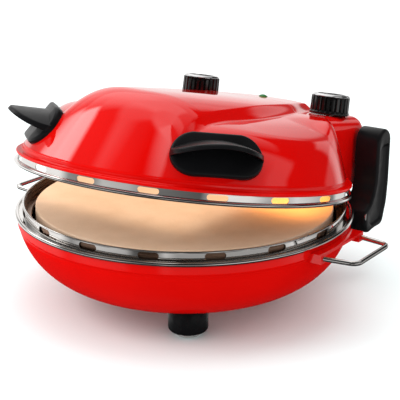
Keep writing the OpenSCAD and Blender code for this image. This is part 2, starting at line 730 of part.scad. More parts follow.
// Puts children on the lid's right slope: z out of the slope, x down it, y along the rim.
module on_slope() rotate([0, 0, handle_bearing - 90]) translate([seat_r, 0, seat_h])
    rotate([0, 90 - seat_tilt, 0]) rotate([seat_yaw, 0, 0]) children();

module handle_screw_shafts(z0, z1) for (s = [-1, 1])
    translate([0, s * handle_screw_y, z0]) cylinder(h = z1 - z0, r = screw_r);

// The slope's own round face, as a cylinder that touches it along the plate's middle.
module slope_round(gap) translate([0, 0, -seat_curve]) rotate([0, 90, 0])
    translate([0, 0, -60]) cylinder(h = 120, r = seat_curve + gap, $fn = 180);

module lid_handle() {
    arch_r = (plate_l * plate_l / 4 + visor_sag * visor_sag) / (2 * visor_sag);
    reach_r = (plate_l * plate_l / 4 + visor_reach * visor_reach) / (2 * visor_reach);
    difference() {
        union() {
            intersection() {
                translate([0, 0, -10]) linear_extrude(10 + plate_t) union() {
                    for (s = [-1, 1]) translate([0, s * (plate_l - plate_w) / 2]) circle(d = plate_w);
                    square([plate_w, plate_l - plate_w], center = true);
                }
                slope_round(plate_t);
            }
            intersection() {
                translate([visor_root, 0, 0]) rotate([0, visor_dip, 0]) translate([arch_r, 0, -4])
                    difference() {
                        cylinder(h = 60, r = arch_r, $fn = 160);
                        translate([0, 0, -1]) cylinder(h = 62, r = arch_r - visor_t, $fn = 160);
                    }
                translate([0, 0, visor_reach - reach_r]) rotate([0, 90, 0]) translate([0, 0, -60])
                    cylinder(h = 120, r = reach_r, $fn = 160);
                translate([-plate_w, -plate_l / 2, -2]) cube([plate_w * 2, plate_l, 60]);
            }
        }
        slope_round(seat_gap);
        handle_screw_shafts(-12, 4);
    }
}

module right_lid_handle() color(black) on_lid() on_slope() lid_handle();
module left_lid_handle() color(black) on_lid() mirror([1, 0, 0]) on_slope() lid_handle();

module lid_handle_screws() color(dull_steel) on_lid() both_sides() on_slope() {
    handle_screw_shafts(-7, 4);
    for (s = [-1, 1]) translate([0, s * handle_screw_y, -7.4]) cylinder(h = 2, r = 4);
}

// ---------- controls ----------

control_floor = 50;
switch_w = 36;
switch_top = box_top - lid_wall - 4;

// A switch body hung under the housing's top by its bush.
module switch_body(side) translate([side * knob_x, knob_y, 0]) difference() {
    union() {
        translate([-switch_w / 2, -switch_w / 2, control_floor])
            cube([switch_w, switch_w, switch_top - control_floor]);
        cylinder(h = box_top, r = bush_r);
    }
    translate([0, 0, control_floor + 6]) cylinder(h = 40, r = shaft_r + shaft_clear);
    translate([-switch_w, -switch_w, -1]) cube([2 * switch_w, 2 * switch_w, control_floor + 1]);
}

module timer_body() color([0.75, 0.75, 0.72]) on_lid() switch_body(-1);
module thermostat_body() color([0.75, 0.75, 0.72]) on_lid() switch_body(1);

knob_base = box_top + 0.8;
dish_r = 14.5;
flute_r = 2.2;

module control_shaft(side) translate([side * knob_x, knob_y, control_floor + 8])
    cylinder(h = knob_base + knob_h - 6 - control_floor - 8, r = shaft_r);

module timer_shaft() color(bright) on_lid() control_shaft(-1);
module thermostat_shaft() color(bright) on_lid() control_shaft(1);

module control_knob(side) translate([side * knob_x, knob_y, knob_base]) difference() {
    rotate_extrude($fn = 120) polygon([[0, 0], [knob_r - 0.6, 0], [knob_r, 0.8], [knob_r, 2.6],
        [knob_r - 0.8, 3.4], [knob_r - 1, knob_h - 2.6], [knob_r - 3, knob_h], [dish_r, knob_h],
        [dish_r - 0.6, knob_h - 1], [0, knob_h - 1]]);
    for (i = [0 : flute_count - 1]) rotate([0, 0, (i + 0.5) * 360 / flute_count])
        translate([knob_r + 0.6, 0, 3.6]) cylinder(h = knob_h - 7.6, r = flute_r, $fn = 24);
    translate([0, 0, -1]) cylinder(h = knob_h - 5, r = shaft_r);
    translate([0, -dish_r + 4, knob_h - 1]) cube([1.6, 7, 0.8], center = true);
}

module timer_knob() color(black) on_lid() control_knob(-1);
module thermostat_knob() color(black) on_lid() control_knob(1);

module pilot_lens() color([0.10, 0.45, 0.16]) on_lid() translate([0, knob_y, strip_top]) {
    intersection() {
        translate([0, 0, -3.2]) sphere(r = 6.2, $fn = 64);
        cylinder(h = 8, r = lens_r);
    }
    translate([0, 0, -5]) cylinder(h = 5, r = lens_r - 0.5);
}

lamp_r = 3.5;
lamp_l = 16;

module pilot_lamp() color([0.9, 0.9, 0.85]) on_lid() translate([0, knob_y, strip_top - lamp_l - 5])
    cylinder(h = lamp_l, r = lamp_r);

base_shell();
base_pan();
base_ring();
baking_stone();
stone_posts();
lower_heating_element();
lower_element_clips();
lower_terminal_block();
feet();
foot_glides();
foot_screws();
left_hinge_arm();
right_hinge_arm();
arm_screws();
hinge_pins();
left_handle_bracket();
right_handle_bracket();
left_side_handle();
right_side_handle();
cord_inlet();
lid_shell();
lid_rim();
lid_ring();
lid_liner();
upper_heating_element();
upper_element_clips();
upper_terminal_block();
control_housing();
hinge_knuckles();
left_lid_handle();
right_lid_handle();
lid_handle_screws();
timer_body();
thermostat_body();
pilot_lens();
pilot_lamp();
timer_knob();
timer_shaft();
thermostat_knob();
thermostat_shaft();
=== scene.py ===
"""Looks of an electric pizza maker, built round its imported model.

A painted bowl carries a baking stone inside a bright slotted ring. A painted lid with a raised
centre ridge hangs from two black hinge arms and carries the control housing with two knobs.
Sizes are in millimetres about the middle of the rim, and are put in the row's frame in metres.
"""

import json
import logging
import math
from dataclasses import dataclass, field
from enum import Enum

import bmesh
import bpy
import numpy as np
from mathutils import Matrix, Vector


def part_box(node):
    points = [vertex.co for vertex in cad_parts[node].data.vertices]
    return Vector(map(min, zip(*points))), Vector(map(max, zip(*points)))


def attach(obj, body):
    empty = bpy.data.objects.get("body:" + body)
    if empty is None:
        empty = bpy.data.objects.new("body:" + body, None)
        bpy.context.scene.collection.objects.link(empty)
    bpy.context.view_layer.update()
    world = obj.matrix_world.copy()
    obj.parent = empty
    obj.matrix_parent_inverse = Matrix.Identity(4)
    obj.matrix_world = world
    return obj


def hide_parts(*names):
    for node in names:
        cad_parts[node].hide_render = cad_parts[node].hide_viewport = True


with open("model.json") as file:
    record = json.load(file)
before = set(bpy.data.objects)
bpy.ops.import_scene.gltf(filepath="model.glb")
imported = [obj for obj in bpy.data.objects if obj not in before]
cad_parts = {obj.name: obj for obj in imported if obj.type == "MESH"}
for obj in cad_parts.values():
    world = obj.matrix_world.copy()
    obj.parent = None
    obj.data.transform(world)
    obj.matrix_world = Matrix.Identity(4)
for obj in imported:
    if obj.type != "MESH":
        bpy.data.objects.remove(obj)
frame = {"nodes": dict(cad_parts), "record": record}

log = logging.getLogger("pizza_maker")
MM = 0.001
MERGE_DISTANCE = 2e-6  # metres
THIN_EDGE = 1e-6  # metres
NOISE_SPAN = (0.3, 0.7)  # where most of a noise's values lie


# ---------- places ----------


class Half(Enum):
    """Which half of the cooker a shape is drawn on."""

    BASE = "base"
    LID = "lid"


@dataclass(frozen=True)
class Places:
    """Where the rim, the hinge and the open lid are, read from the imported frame.

    Args:
        rim_z: height of the rim plane over the table, in mm.
        centre_y: place of the rim's middle along Y, in mm.
        hinge_y: place of the hinge line behind the rim's middle, in mm.
        hinge_f: height of the hinge line over the rim plane, in mm.
        open_angle: angle by which the lid stands open, in radians.
        shut_gap: height of the lid ring's foot over the rim plane when shut, in mm.
    """

    rim_z: float
    centre_y: float
    hinge_y: float
    hinge_f: float
    open_angle: float
    shut_gap: float = 4.8

    @classmethod
    def read(cls) -> "Places":
        """Works the places out from the base ring's box and the lid's joint.

        Returns:
            The places in millimetres.
        """
        low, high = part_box("base_ring")
        hinge = next(j for j in frame["record"]["behaviour"]["joints"] if j["name"] == "lid_hinge")
        centre_y = (low[1] + high[1]) / 2 / MM
        rim_z = low[2] / MM
        _, hinge_y, hinge_z = (v / MM for v in hinge["pos_m"])
        open_angle = math.radians(-hinge["range_deg"][0])
        return cls(rim_z, centre_y, hinge_y - centre_y, hinge_z - rim_z, open_angle)

    @property
    def pivot_h(self) -> float:
        """Height of the hinge line in the lid's own heights."""
        return self.hinge_f - self.shut_gap

    def put(self, points: np.ndarray, half: Half) -> np.ndarray:
        """Moves points from the rim's middle to the row's frame, in metres.

        On the lid, a point turns about the hinge line by the open angle: the new offset behind
        the hinge is y cos a + h sin a, and the new height over it is h cos a - y sin a.

        Args:
            points: an array whose last axis is x, y and height in mm.
            half: the half of the cooker that the points are drawn on.

        Returns:
            The moved points, in metres.
        """
        out = np.array(points, dtype=float)
        if half is Half.LID:
            y = out[..., 1] - self.hinge_y
            h = out[..., 2] - self.pivot_h
            c, s = math.cos(self.open_angle), math.sin(self.open_angle)
            out[..., 1] = self.hinge_y + y * c + h * s
            out[..., 2] = self.hinge_f - y * s + h * c
        out[..., 1] += self.centre_y
        out[..., 2] += self.rim_z
        return out * MM


PLACES = Places.read()


# ---------- meshes ----------


def grid_faces(rows: int, cols: int, close_rows: bool = False, close_cols: bool = False) -> np.ndarray:
    """Four-sided faces of a grid: each joins a point, its right neighbour and the two in the next row.

    Args:
        rows: number of rows of points.
        cols: number of points in a row.
        close_rows: whether the last row joins the first.
        close_cols: whether a row's last point joins its first.

    Returns:
        An array of four point numbers per face.
    """
    i = np.arange(rows if close_rows else rows - 1)[:, None]
    j = np.arange(cols if close_cols else cols - 1)[None, :]
    i2, j2 = (i + 1) % rows, (j + 1) % cols
    return np.stack([i * cols + j, i * cols + j2, i2 * cols + j2, i2 * cols + j], axis=-1).reshape(-1, 4)


def capped_faces(rows: int, cols: int) -> list:
    """Faces of rows of points that each close on themselves, with one face over each end."""
    ends = [list(range(cols)), [(rows - 1) * cols + k for k in range(cols)]]
    return grid_faces(rows, cols, close_cols=True).tolist() + ends


def moved(shape: tuple, by: tuple) -> tuple:
    """The same shape with its points moved by an offset in mm."""
    points, faces = shape
    return points + np.array(by), faces


def mirrored(shape: tuple, side: int) -> tuple:
    """The same shape for side 1, and its mirror image across the middle for side -1."""
    points, faces = shape
    return points * (side, 1, 1), faces


def side_word(side: int) -> str:
    """The word for a side: right for 1 and left for -1."""
    return "right" if side > 0 else "left"


def make_mesh(name: str, shape: tuple, half: Half, sharp: float) -> bpy.types.Object:
    """Makes an object at the origin, with smooth faces and with sharp edges past an angle.

    Doubled points are merged and faces turned outwards.

    Args:
        name: the piece's name.
        shape: its points, in mm about the rim's middle, and its faces as lists of point numbers.
        half: the half of the cooker that the shape is drawn on.
        sharp: angle in degrees past which an edge stays sharp.

    Returns:
        The new object.
    """
    points, faces = shape
    mesh = bpy.data.meshes.new(name)
    placed = PLACES.put(points, half).reshape(-1, 3).tolist()
    mesh.from_pydata(placed, [], [list(map(int, f)) for f in faces])
    work = bmesh.new()
    work.from_mesh(mesh)
    bmesh.ops.remove_doubles(work, verts=work.verts, dist=MERGE_DISTANCE)
    bmesh.ops.dissolve_degenerate(work, edges=work.edges, dist=THIN_EDGE)
    bmesh.ops.recalc_face_normals(work, faces=work.faces)
    work.to_mesh(mesh)
    work.free()
    mesh.shade_smooth()
    mesh.set_sharp_from_angle(angle=math.radians(sharp))
    piece = bpy.data.objects.new(name, mesh)
    bpy.context.scene.collection.objects.link(piece)
    return piece


def arc(cx: float, cy: float, r: float, a0: float, a1: float, n: int) -> np.ndarray:
    """Points on a circle's arc: centre plus r (cos a, sin a), for a from a0 to a1 degrees."""
    a = np.radians(np.linspace(a0, a1, n))
    return np.stack([cx + r * np.cos(a), cy + r * np.sin(a)], axis=1)


def line(*points: tuple) -> np.ndarray:
    """A short run of points given one by one."""
    return np.array(points, dtype=float)


def lathe(profile: np.ndarray, around: int, start: float = 0.0, sweep: float = 360.0) -> tuple:
    """Turns a profile of (radius, height) about the upright axis.

    Point (i, j) is (r_j cos a_i, r_j sin a_i, h_j), with a_i spaced evenly over the sweep.

    Args:
        profile: (radius, height) points.
        around: number of steps round the axis.
        start: first bearing in degrees.
        sweep: how far it turns in degrees.

    Returns:
        The points in mm and the faces.
    """
    whole = sweep >= 360.0
    a = np.radians(start + np.linspace(0, sweep, around, endpoint=not whole))
    r, h = profile[:, 0], profile[:, 1]
    points = np.stack([np.outer(np.cos(a), r), np.outer(np.sin(a), r), np.tile(h, (around, 1))], axis=-1)
    return points.reshape(-1, 3), grid_faces(around, len(profile), close_rows=whole).tolist()


def join(*parts: tuple) -> tuple:
    """Puts several (points, faces) together as one.

    Args:
        parts: pairs of points and faces.

    Returns:
        One pair of points and faces.
    """
    points, faces, shift = [], [], 0
    for part_points, part_faces in parts:
        part_points = np.asarray(part_points).reshape(-1, 3)
        points.append(part_points)
        faces += [[k + shift for k in f] for f in part_faces]
        shift += len(part_points)
    return np.concatenate(points), faces


def tube(path: np.ndarray, radius: float, sides: int) -> tuple:
    """Carries a circle along a level path: each ring lies across the path's direction.

    The ring at a point is p + r (cos a n + sin a up), where n is level and square to the path.

    Args:
        path: points of the middle line, in mm, all at about one height.
        radius: the tube's radius in mm.
        sides: number of points round it.

    Returns:
        The points and faces, with both ends closed.
    """
    along = np.gradient(path, axis=0)
    along /= np.linalg.norm(along, axis=1, keepdims=True)
    up = np.array([0.0, 0.0, 1.0])
    side = np.cross(along, up)
    side /= np.linalg.norm(side, axis=1, keepdims=True)
    top = np.cross(side, along)
    a = np.linspace(0, 2 * np.pi, sides, endpoint=False)[None, :, None]
    rings = path[:, None] + radius * (np.cos(a) * side[:, None] + np.sin(a) * top[:, None])
    return rings.reshape(-1, 3), capped_faces(len(path), sides)


def round_corners(corners: list, steps: int) -> np.ndarray:
    """A closed outline with each corner (x, y, r) replaced by an arc that touches both its sides.

    The arc starts and ends at r / tan(half the corner's angle) from the corner, or at 0.48 of a side
    that is too short for that. A corner that is almost straight stays a point.

    Args:
        corners: x, y and radius of each corner, in order.
        steps: points on each arc.

    Returns:
        The outline's points.
    """
    out = []
    count = len(corners)
    for k, (x, y, r) in enumerate(corners):
        p = np.array([x, y], dtype=float)
        to_a = np.array(corners[k - 1][:2]) - p
        to_b = np.array(corners[(k + 1) % count][:2]) - p
        la, lb = np.linalg.norm(to_a), np.linalg.norm(to_b)
        to_a, to_b = to_a / la, to_b / lb
        half = math.acos(float(np.clip(to_a @ to_b, -1, 1))) / 2
        if math.pi / 2 - half < 0.02:
            out.append(p[None])
            continue
        reach = min(r / math.tan(half), 0.48 * la, 0.48 * lb)
        r = reach * math.tan(half)
        middle = p + (to_a + to_b) / np.linalg.norm(to_a + to_b) * r / math.sin(half)
        a0 = math.atan2(*(p + to_a * reach - middle)[::-1])
        a1 = math.atan2(*(p + to_b * reach - middle)[::-1])
        a1 = a0 + (a1 - a0 + math.pi) % (2 * math.pi) - math.pi
        a = np.linspace(a0, a1, steps)
        out.append(middle + r * np.stack([np.cos(a), np.sin(a)], axis=1))
    return np.concatenate(out)


def even_outline(outline: np.ndarray, count: int) -> np.ndarray:
    """Spaces a closed outline's points evenly along its length.

    Args:
        outline: the outline's points.
        count: how many points to return.

    Returns:
        The new points.
    """
    loop = np.vstack([outline, outline[:1]])
    length = np.concatenate([[0], np.cumsum(np.linalg.norm(np.diff(loop, axis=0), axis=1))])
    at = np.linspace(0, length[-1], count, endpoint=False)
    return np.stack([np.interp(at, length, loop[:, 0]), np.interp(at, length, loop[:, 1])], axis=1)


def shrink_outline(outline: np.ndarray, inset: float) -> np.ndarray:
    """Moves a closed outline inwards along its own normals.

    Args:
        outline: the outline's points, evenly spaced.
        inset: how far inwards, in mm.

    Returns:
        The smaller outline.
    """
    ahead, behind = np.roll(outline, -1, axis=0), np.roll(outline, 1, axis=0)
    along = ahead - behind
    along /= np.linalg.norm(along, axis=1, keepdims=True)
    normal = np.stack([-along[:, 1], along[:, 0]], axis=1)
    area = np.sum(outline[:, 0] * ahead[:, 1] - ahead[:, 0] * outline[:, 1])
    return outline + normal * inset * np.sign(area)


def station_curve(y: np.ndarray, stations: tuple) -> np.ndarray:
    """A smooth curve through stations (y, value): cubic pieces whose slopes are those of the neighbours.

    Args:
        y: where the curve is wanted.
        stations: (y, value) pairs in order.

    Returns:
        The curve's values.
    """
    at, value = np.array(stations, dtype=float).T
    slope = np.gradient(value, at)
    k = np.clip(np.searchsorted(at, y) - 1, 0, len(at) - 2)
    span = at[k + 1] - at[k]
    t = np.clip((y - at[k]) / span, 0, 1)
    return (
        (2 * t**3 - 3 * t**2 + 1) * value[k]
        + (t**3 - 2 * t**2 + t) * span * slope[k]
        + (3 * t**2 - 2 * t**3) * value[k + 1]
        + (t**3 - t**2) * span * slope[k + 1]
    )


# ---------- finishes ----------


class NodePlan:
    """A short way to lay down the nodes of a material or a world."""

    def __init__(self, owner: bpy.types.ID) -> None:
        """Gives the owner an empty node tree.

        Args:
            owner: the material or world.
        """
        owner.use_nodes = True
        self.tree = owner.node_tree
        self.tree.nodes.clear()

    def add(self, kind: str, **sets: object) -> bpy.types.Node:
        """Adds a node and sets its plain properties.

        Args:
            kind: the node's type.
            sets: its plain properties and their values.

        Returns:
            The node.
        """
        node = self.tree.nodes.new(kind)
        for key, value in sets.items():
            setattr(node, key, value)
        return node

    def link(self, a: bpy.types.NodeSocket, b: bpy.types.NodeSocket) -> None:
        """Joins an output to an input."""
        self.tree.links.new(a, b)

    def ramp(self, value: bpy.types.NodeSocket, *stops: tuple) -> bpy.types.NodeSocket:
        """Turns a value into a colour by stops of (place, colour).

        Args:
            value: the value.
            stops: the stops, in order.

        Returns:
            The colour's socket.
        """
        node = self.add("ShaderNodeValToRGB")
        band = node.color_ramp
        while len(band.elements) < len(stops):
            band.elements.new(0.5)
        for element, (place, colour) in zip(band.elements, stops):
            element.position = place
            element.color = (*colour, 1.0)
        self.link(value, node.inputs["Fac"])
        return node.outputs["Color"]


class Weave(NodePlan):
    """A material's nodes, with its main shader and Object coordinates at the ready."""

    def __init__(self, name: str) -> None:
        """Starts a material with its main shader.

        Args:
            name: the material's name.
        """
        self.material = bpy.data.materials.new(name)
        super().__init__(self.material)
        self.shader = self.add("ShaderNodeBsdfPrincipled")
        self.link(self.shader.outputs["BSDF"], self.add("ShaderNodeOutputMaterial").inputs["Surface"])
        self.place = self.add("ShaderNodeTexCoord").outputs["Object"]

    def stretch(self, scale: tuple) -> bpy.types.NodeSocket:
        """Object coordinates stretched by a scale along each axis.

        Args:
            scale: the factor along each axis.

        Returns:
            The stretched coordinates' socket.
        """
        node = self.add("ShaderNodeMapping")
        node.inputs["Scale"].default_value = scale
        self.link(self.place, node.inputs["Vector"])
        return node.outputs["Vector"]

    def noise(
        self, scale: float, detail: float, where: bpy.types.NodeSocket | None = None
    ) -> bpy.types.NodeSocket:
        """A cloudy value from 0 to 1.

        Args:
            scale: how many clouds to a metre.
            detail: how much finer structure there is.
            where: the coordinates, or None for plain Object coordinates.

        Returns:
            The noise's value socket.
        """
        node = self.add("ShaderNodeTexNoise")
        node.inputs["Scale"].default_value = scale
        node.inputs["Detail"].default_value = detail
        self.link(where or self.place, node.inputs["Vector"])
        return node.outputs["Fac"]

    def colour(self, value: bpy.types.NodeSocket, *stops: tuple) -> None:
        """Gives the shader its colour from a value, by stops of (place, colour)."""
        self.link(self.ramp(value, *stops), self.shader.inputs["Base Color"])

    def roughness(self, value: bpy.types.NodeSocket, low: float, high: float) -> None:
        """Lets the shader's roughness run from low to high over the middle of a value's range.

        Args:
            value: the value.
            low: the roughness where the value is low.
            high: the roughness where it is high.
        """
        node = self.add("ShaderNodeMapRange")
        node.inputs["From Min"].default_value, node.inputs["From Max"].default_value = NOISE_SPAN
        node.inputs["To Min"].default_value, node.inputs["To Max"].default_value = low, high
        self.link(value, node.inputs["Value"])
        self.link(node.outputs["Result"], self.shader.inputs["Roughness"])

    def bump(self, height: bpy.types.NodeSocket, strength: float, depth: float) -> None:
        """Raises the surface by a height, with a depth in metres.

        Args:
            height: the height.
            strength: how much of the relief shows, from 0 to 1.
            depth: the relief of a height of 1, in metres.
        """
        node = self.add("ShaderNodeBump")
        node.inputs["Strength"].default_value = strength
        node.inputs["Distance"].default_value = depth
        self.link(height, node.inputs["Height"])
        self.link(node.outputs["Normal"], self.shader.inputs["Normal"])

    def set(self, **values: object) -> None:
        """Sets the main shader's own sockets, with _ for a space."""
        for key, value in values.items():
            self.shader.inputs[key.replace("_", " ")].default_value = value


@dataclass(frozen=True)
class Enamel:
    """Baked gloss paint: deep colour, faint orange peel and a clear coat."""

    name: str = "red_enamel"
    deep: tuple = (0.53, 0.0015, 0.001)
    bright: tuple = (0.60, 0.0025, 0.0015)
    coat: float = 1.0

    def make(self) -> bpy.types.Material:
        """Lays down the paint's nodes.

        Returns:
            The material.
        """
        w = Weave(self.name)
        w.colour(w.noise(9, 2), (0.3, self.deep), (0.7, self.bright))
        w.roughness(w.noise(60, 3), 0.3, 0.38)
        w.bump(w.noise(420, 2), 0.06, 0.0002)
        w.set(Coat_Weight=self.coat, Coat_IOR=1.8, Coat_Roughness=0.02, Specular_IOR_Level=0.0)
        return w.material


@dataclass(frozen=True)
class BrightSteel:
    """Polished sheet or wire with faint rolling lines round it."""

    name: str
    tone: tuple = (0.86, 0.84, 0.82)
    rough: tuple = (0.04, 0.09)
    lines: float = 240.0
    warm: tuple | None = None
    depth: float = 0.00001
    metal: float = 1.0

    def make(self) -> bpy.types.Material:
        """Lays down the steel's nodes.

        Returns:
            The material.
        """
        w = Weave(self.name)
        streaks = w.noise(1.0, 4, w.stretch((14, 14, self.lines)))
        dark = self.warm or tuple(0.92 * c for c in self.tone)
        w.colour(streaks, (0.3, dark), (0.7, self.tone))
        w.roughness(streaks, *self.rough)
        w.bump(streaks, 0.2, self.depth)
        w.set(Metallic=self.metal)
        return w.material


@dataclass(frozen=True)
class Moulded:
    """Black moulded plastic with a fine grain and faint paler clouds."""

    name: str
    tone: tuple = (0.004, 0.004, 0.0045)
    rough: tuple = (0.3, 0.4)
    grain: float = 1500.0
    depth: float = 0.00004
    shine: float = 0.2

    def make(self) -> bpy.types.Material:
        """Lays down the plastic's nodes.

        Returns:
            The material.
        """
        w = Weave(self.name)
        paler = tuple(1.6 * c for c in self.tone)
        w.colour(w.noise(24, 4), (0.35, self.tone), (0.75, paler))
        w.roughness(w.noise(90, 3), *self.rough)
        w.bump(w.noise(self.grain, 2), 0.25, self.depth)
        w.set(Specular_IOR_Level=self.shine)
        return w.material


@dataclass(frozen=True)
class Stoneware:
    """Dry cordierite: sandy colour, pin-prick pores and a few darker grains."""

    name: str = "baking_stone"
    pale: tuple = (0.86, 0.62, 0.44)
    dark: tuple = (0.80, 0.56, 0.38)
    grains: tuple = (0.55, 0.36, 0.23)

    def make(self) -> bpy.types.Material:
        """Lays down the stone's nodes.

        Returns:
            The material.
        """
        w = Weave(self.name)
        body = w.ramp(w.noise(38, 6), (0.3, self.dark), (0.62, self.pale))
        cells = w.add("ShaderNodeTexVoronoi")
        cells.inputs["Scale"].default_value = 420
        w.link(w.place, cells.inputs["Vector"])
        speck = w.ramp(cells.outputs["Distance"], (0.06, (1, 1, 1)), (0.16, (0, 0, 0)))
        mix = w.add("ShaderNodeMix", data_type="RGBA")
        w.link(speck, mix.inputs["Factor"])
        w.link(body, mix.inputs["A"])
        mix.inputs["B"].default_value = (*self.grains, 1)
        w.link(mix.outputs["Result"], w.shader.inputs["Base Color"])
        w.roughness(w.noise(200, 4), 0.72, 0.9)
        w.bump(w.noise(900, 5), 0.5, 0.0003)
        return w.material


@dataclass(frozen=True)
class Heated:
    """Element sheath: grey-brown metal, dulled and blotched by heat."""

    name: str = "element_sheath"
    cold: tuple = (0.16, 0.15, 0.14)
    tinted: tuple = (0.24, 0.17, 0.12)

    def make(self) -> bpy.types.Material:
        """Lays down the sheath's nodes.

        Returns:
            The material.
        """
        w = Weave(self.name)
        w.colour(w.noise(45, 5), (0.35, self.cold), (0.7, self.tinted))
        w.roughness(w.noise(160, 3), 0.4, 0.6)
        w.bump(w.noise(700, 3), 0.2, 0.0001)
        w.set(Metallic=0.85)
        return w.material


@dataclass(frozen=True)
class Glazed:
    """A plain hard body, such as a ceramic block or a tinted lens."""

    name: str
    tone: tuple
    rough: tuple = (0.3, 0.5)
    see_through: float = 0.0
    cloud: float = 60.0

    def make(self) -> bpy.types.Material:
        """Lays down the body's nodes.

        Returns:
            The material.
        """
        w = Weave(self.name)
        darker = tuple(0.8 * c for c in self.tone)
        w.colour(w.noise(self.cloud, 4), (0.3, darker), (0.7, self.tone))
        w.roughness(w.noise(3 * self.cloud, 3), *self.rough)
        w.bump(w.noise(900, 2), 0.1, 0.0001)
        w.set(Transmission_Weight=self.see_through, IOR=1.49)
        return w.material


class Finishes:
    """Every finish of the cooker, made once."""

    def __init__(self) -> None:
        """Makes the materials."""
        self.red = Enamel().make()
        self.calm_red = Enamel("calm_red_enamel", coat=0.4).make()
        self.bright = BrightSteel("polished_ring").make()
        self.wire = BrightSteel("polished_wire", rough=(0.05, 0.1), lines=300).make()
        self.sheet = BrightSteel(
            "aluminised_sheet", tone=(0.52, 0.50, 0.48), rough=(0.28, 0.42), lines=60
        ).make()
        self.pan = BrightSteel(
            "heated_pan", tone=(0.34, 0.22, 0.16), rough=(0.2, 0.34), lines=300, warm=(0.24, 0.13, 0.08)
        ).make()
        self.trim = BrightSteel("knob_trim", tone=(0.8, 0.8, 0.81), rough=(0.08, 0.14), lines=600).make()
        self.screw = BrightSteel("plain_steel", tone=(0.6, 0.59, 0.57), rough=(0.18, 0.3), lines=500).make()
        self.glide = BrightSteel(
            "glide_steel", tone=(0.9, 0.89, 0.87), rough=(0.1, 0.2), lines=500, metal=0.6
        ).make()
        self.arm = Moulded("arm_plastic").make()
        self.handle = Moulded("handle_plastic", rough=(0.3, 0.38), shine=0.16).make()
        self.knob = Moulded(
            "knob_plastic", tone=(0.003, 0.003, 0.003), rough=(0.1, 0.16), grain=600, depth=0.00002, shine=0.6
        ).make()
        self.foot = Moulded("foot_plastic", rough=(0.22, 0.32), shine=0.1).make()
        self.stone = Stoneware().make()
        self.sheath = Heated().make()
        self.ceramic = Glazed("terminal_ceramic", (0.78, 0.76, 0.68)).make()
        self.lens = Glazed("pilot_lens", (0.02, 0.22, 0.05), rough=(0.05, 0.1), see_through=0.35).make()
        self.lamp = Glazed("lamp_glass", (0.85, 0.85, 0.8), rough=(0.03, 0.08), see_through=0.9).make()


def paint(piece: bpy.types.Object, material: bpy.types.Material) -> None:
    """Makes a material the only one on a piece."""
    piece.data.materials.clear()
    piece.data.materials.append(material)


def dress(
    piece: bpy.types.Object, material: bpy.types.Material, slot: str, body: str, *nodes: str
) -> None:
    """Gives a new piece its material and its body, and hides the CAD nodes that it stands for.

    Args:
        piece: the new piece.
        material: its finish.
        slot: the record's material slot; not used.
        body: the body that it rides on.
        nodes: the CAD nodes that it replaces.
    """
    paint(piece, material)
    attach(piece, body)
    if nodes:
        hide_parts(*nodes)
    log.info("made %s", piece.name)


# ---------- base ----------


@dataclass(frozen=True)
class Bowl:
    """The painted bowl with its skirt, and the pan inside it."""

    skirt_r: float = 172.5
    skirt_drop: float = 9.0
    step_in: float = 2.0
    step_drop: float = 5.4
    arc_r: float = 79.5
    flat_r: float = 94.0
    bottom: float = -72.1
    wall: float = 1.2
    pan_r: float = 157.5
    pan_depth: float = 30.0
    pan_wall: float = 0.8
    flange_r: float = 171.2
    upstand_r: float = 165.2
    upstand_h: float = 11.2

    def shell_profile(self) -> np.ndarray:
        """Outer side from the rim down, then the inner side back up.

        The skirt is upright, a soft step leads in from it, and the side is a circle's arc
        about (flat_r, bottom + arc_r).

        Returns:
            The closed profile, as (radius, height) points.
        """
        mid = self.bottom + self.arc_r
        step = self.skirt_r - self.step_in
        start = math.degrees(math.asin((-self.skirt_drop - self.step_drop - mid) / self.arc_r))
        outer = np.concatenate([
            line((self.skirt_r - 0.5, 0.0), (self.skirt_r, -0.5), (self.skirt_r, -4.0), (self.skirt_r, -7.6)),
            arc(self.skirt_r - 1.2, -7.8, 1.2, 0, -58, 7),
            arc(step + 1.4, -10.7, 1.3, 120, 185, 7),
            arc(self.flat_r, mid, self.arc_r, start, -90, 90),
            line((60.0, self.bottom), (20.0, self.bottom), (0.0, self.bottom)),
        ])
        inner = np.concatenate([
            line((0.0, self.bottom + self.wall), (self.flat_r, self.bottom + self.wall)),
            arc(self.flat_r, mid, self.arc_r - self.wall, -90, start, 24),
            line((self.skirt_r - self.wall, -self.skirt_drop), (self.skirt_r - self.wall, 0.0)),
        ])
        return np.concatenate([outer, inner, outer[:1]])

    def pan_profile(self) -> np.ndarray:
        """The pan's flange, the upstand behind the vents, the upright wall, its round foot and the floor.

        Returns:
            The closed profile, as (radius, height) points.
        """
        r, d, t, far = self.pan_r, self.pan_depth, self.pan_wall, self.flange_r
        up, top = self.upstand_r, self.upstand_h
        inside = np.concatenate([
            line((far, 0.0), (up + 0.5, 0.0), (up + 0.5, top - 0.6), (up, top)),
            line((up - 0.5, top - 0.6), (up - 0.5, 0.6)),
            arc(r + 1.5, -0.9, 1.5, 90, 180, 6),
            line((r, -12.0)),
            arc(r - 5, -d + 5, 5, 0, -90, 9),
            line((90.0, -d), (0.0, -d)),
        ])
        outside = line((0.0, -d - t), (r - 5, -d - t), (r + t, -d + 5), (r + t, -t), (far, -t))
        return np.concatenate([inside, outside, inside[:1]])

    def build(self, finishes: Finishes) -> None:
        """Builds the shell and the pan.

        Args:
            finishes: the cooker's finishes.
        """
        shell = make_mesh("bowl_shell", lathe(self.shell_profile(), 320), Half.BASE, 35)
        dress(shell, finishes.calm_red, "red_paint", "base", "base_shell")
        pan = make_mesh("inner_pan", lathe(self.pan_profile(), 256), Half.BASE, 35)
        dress(pan, finishes.pan, "liner_steel", "base", "base_pan")


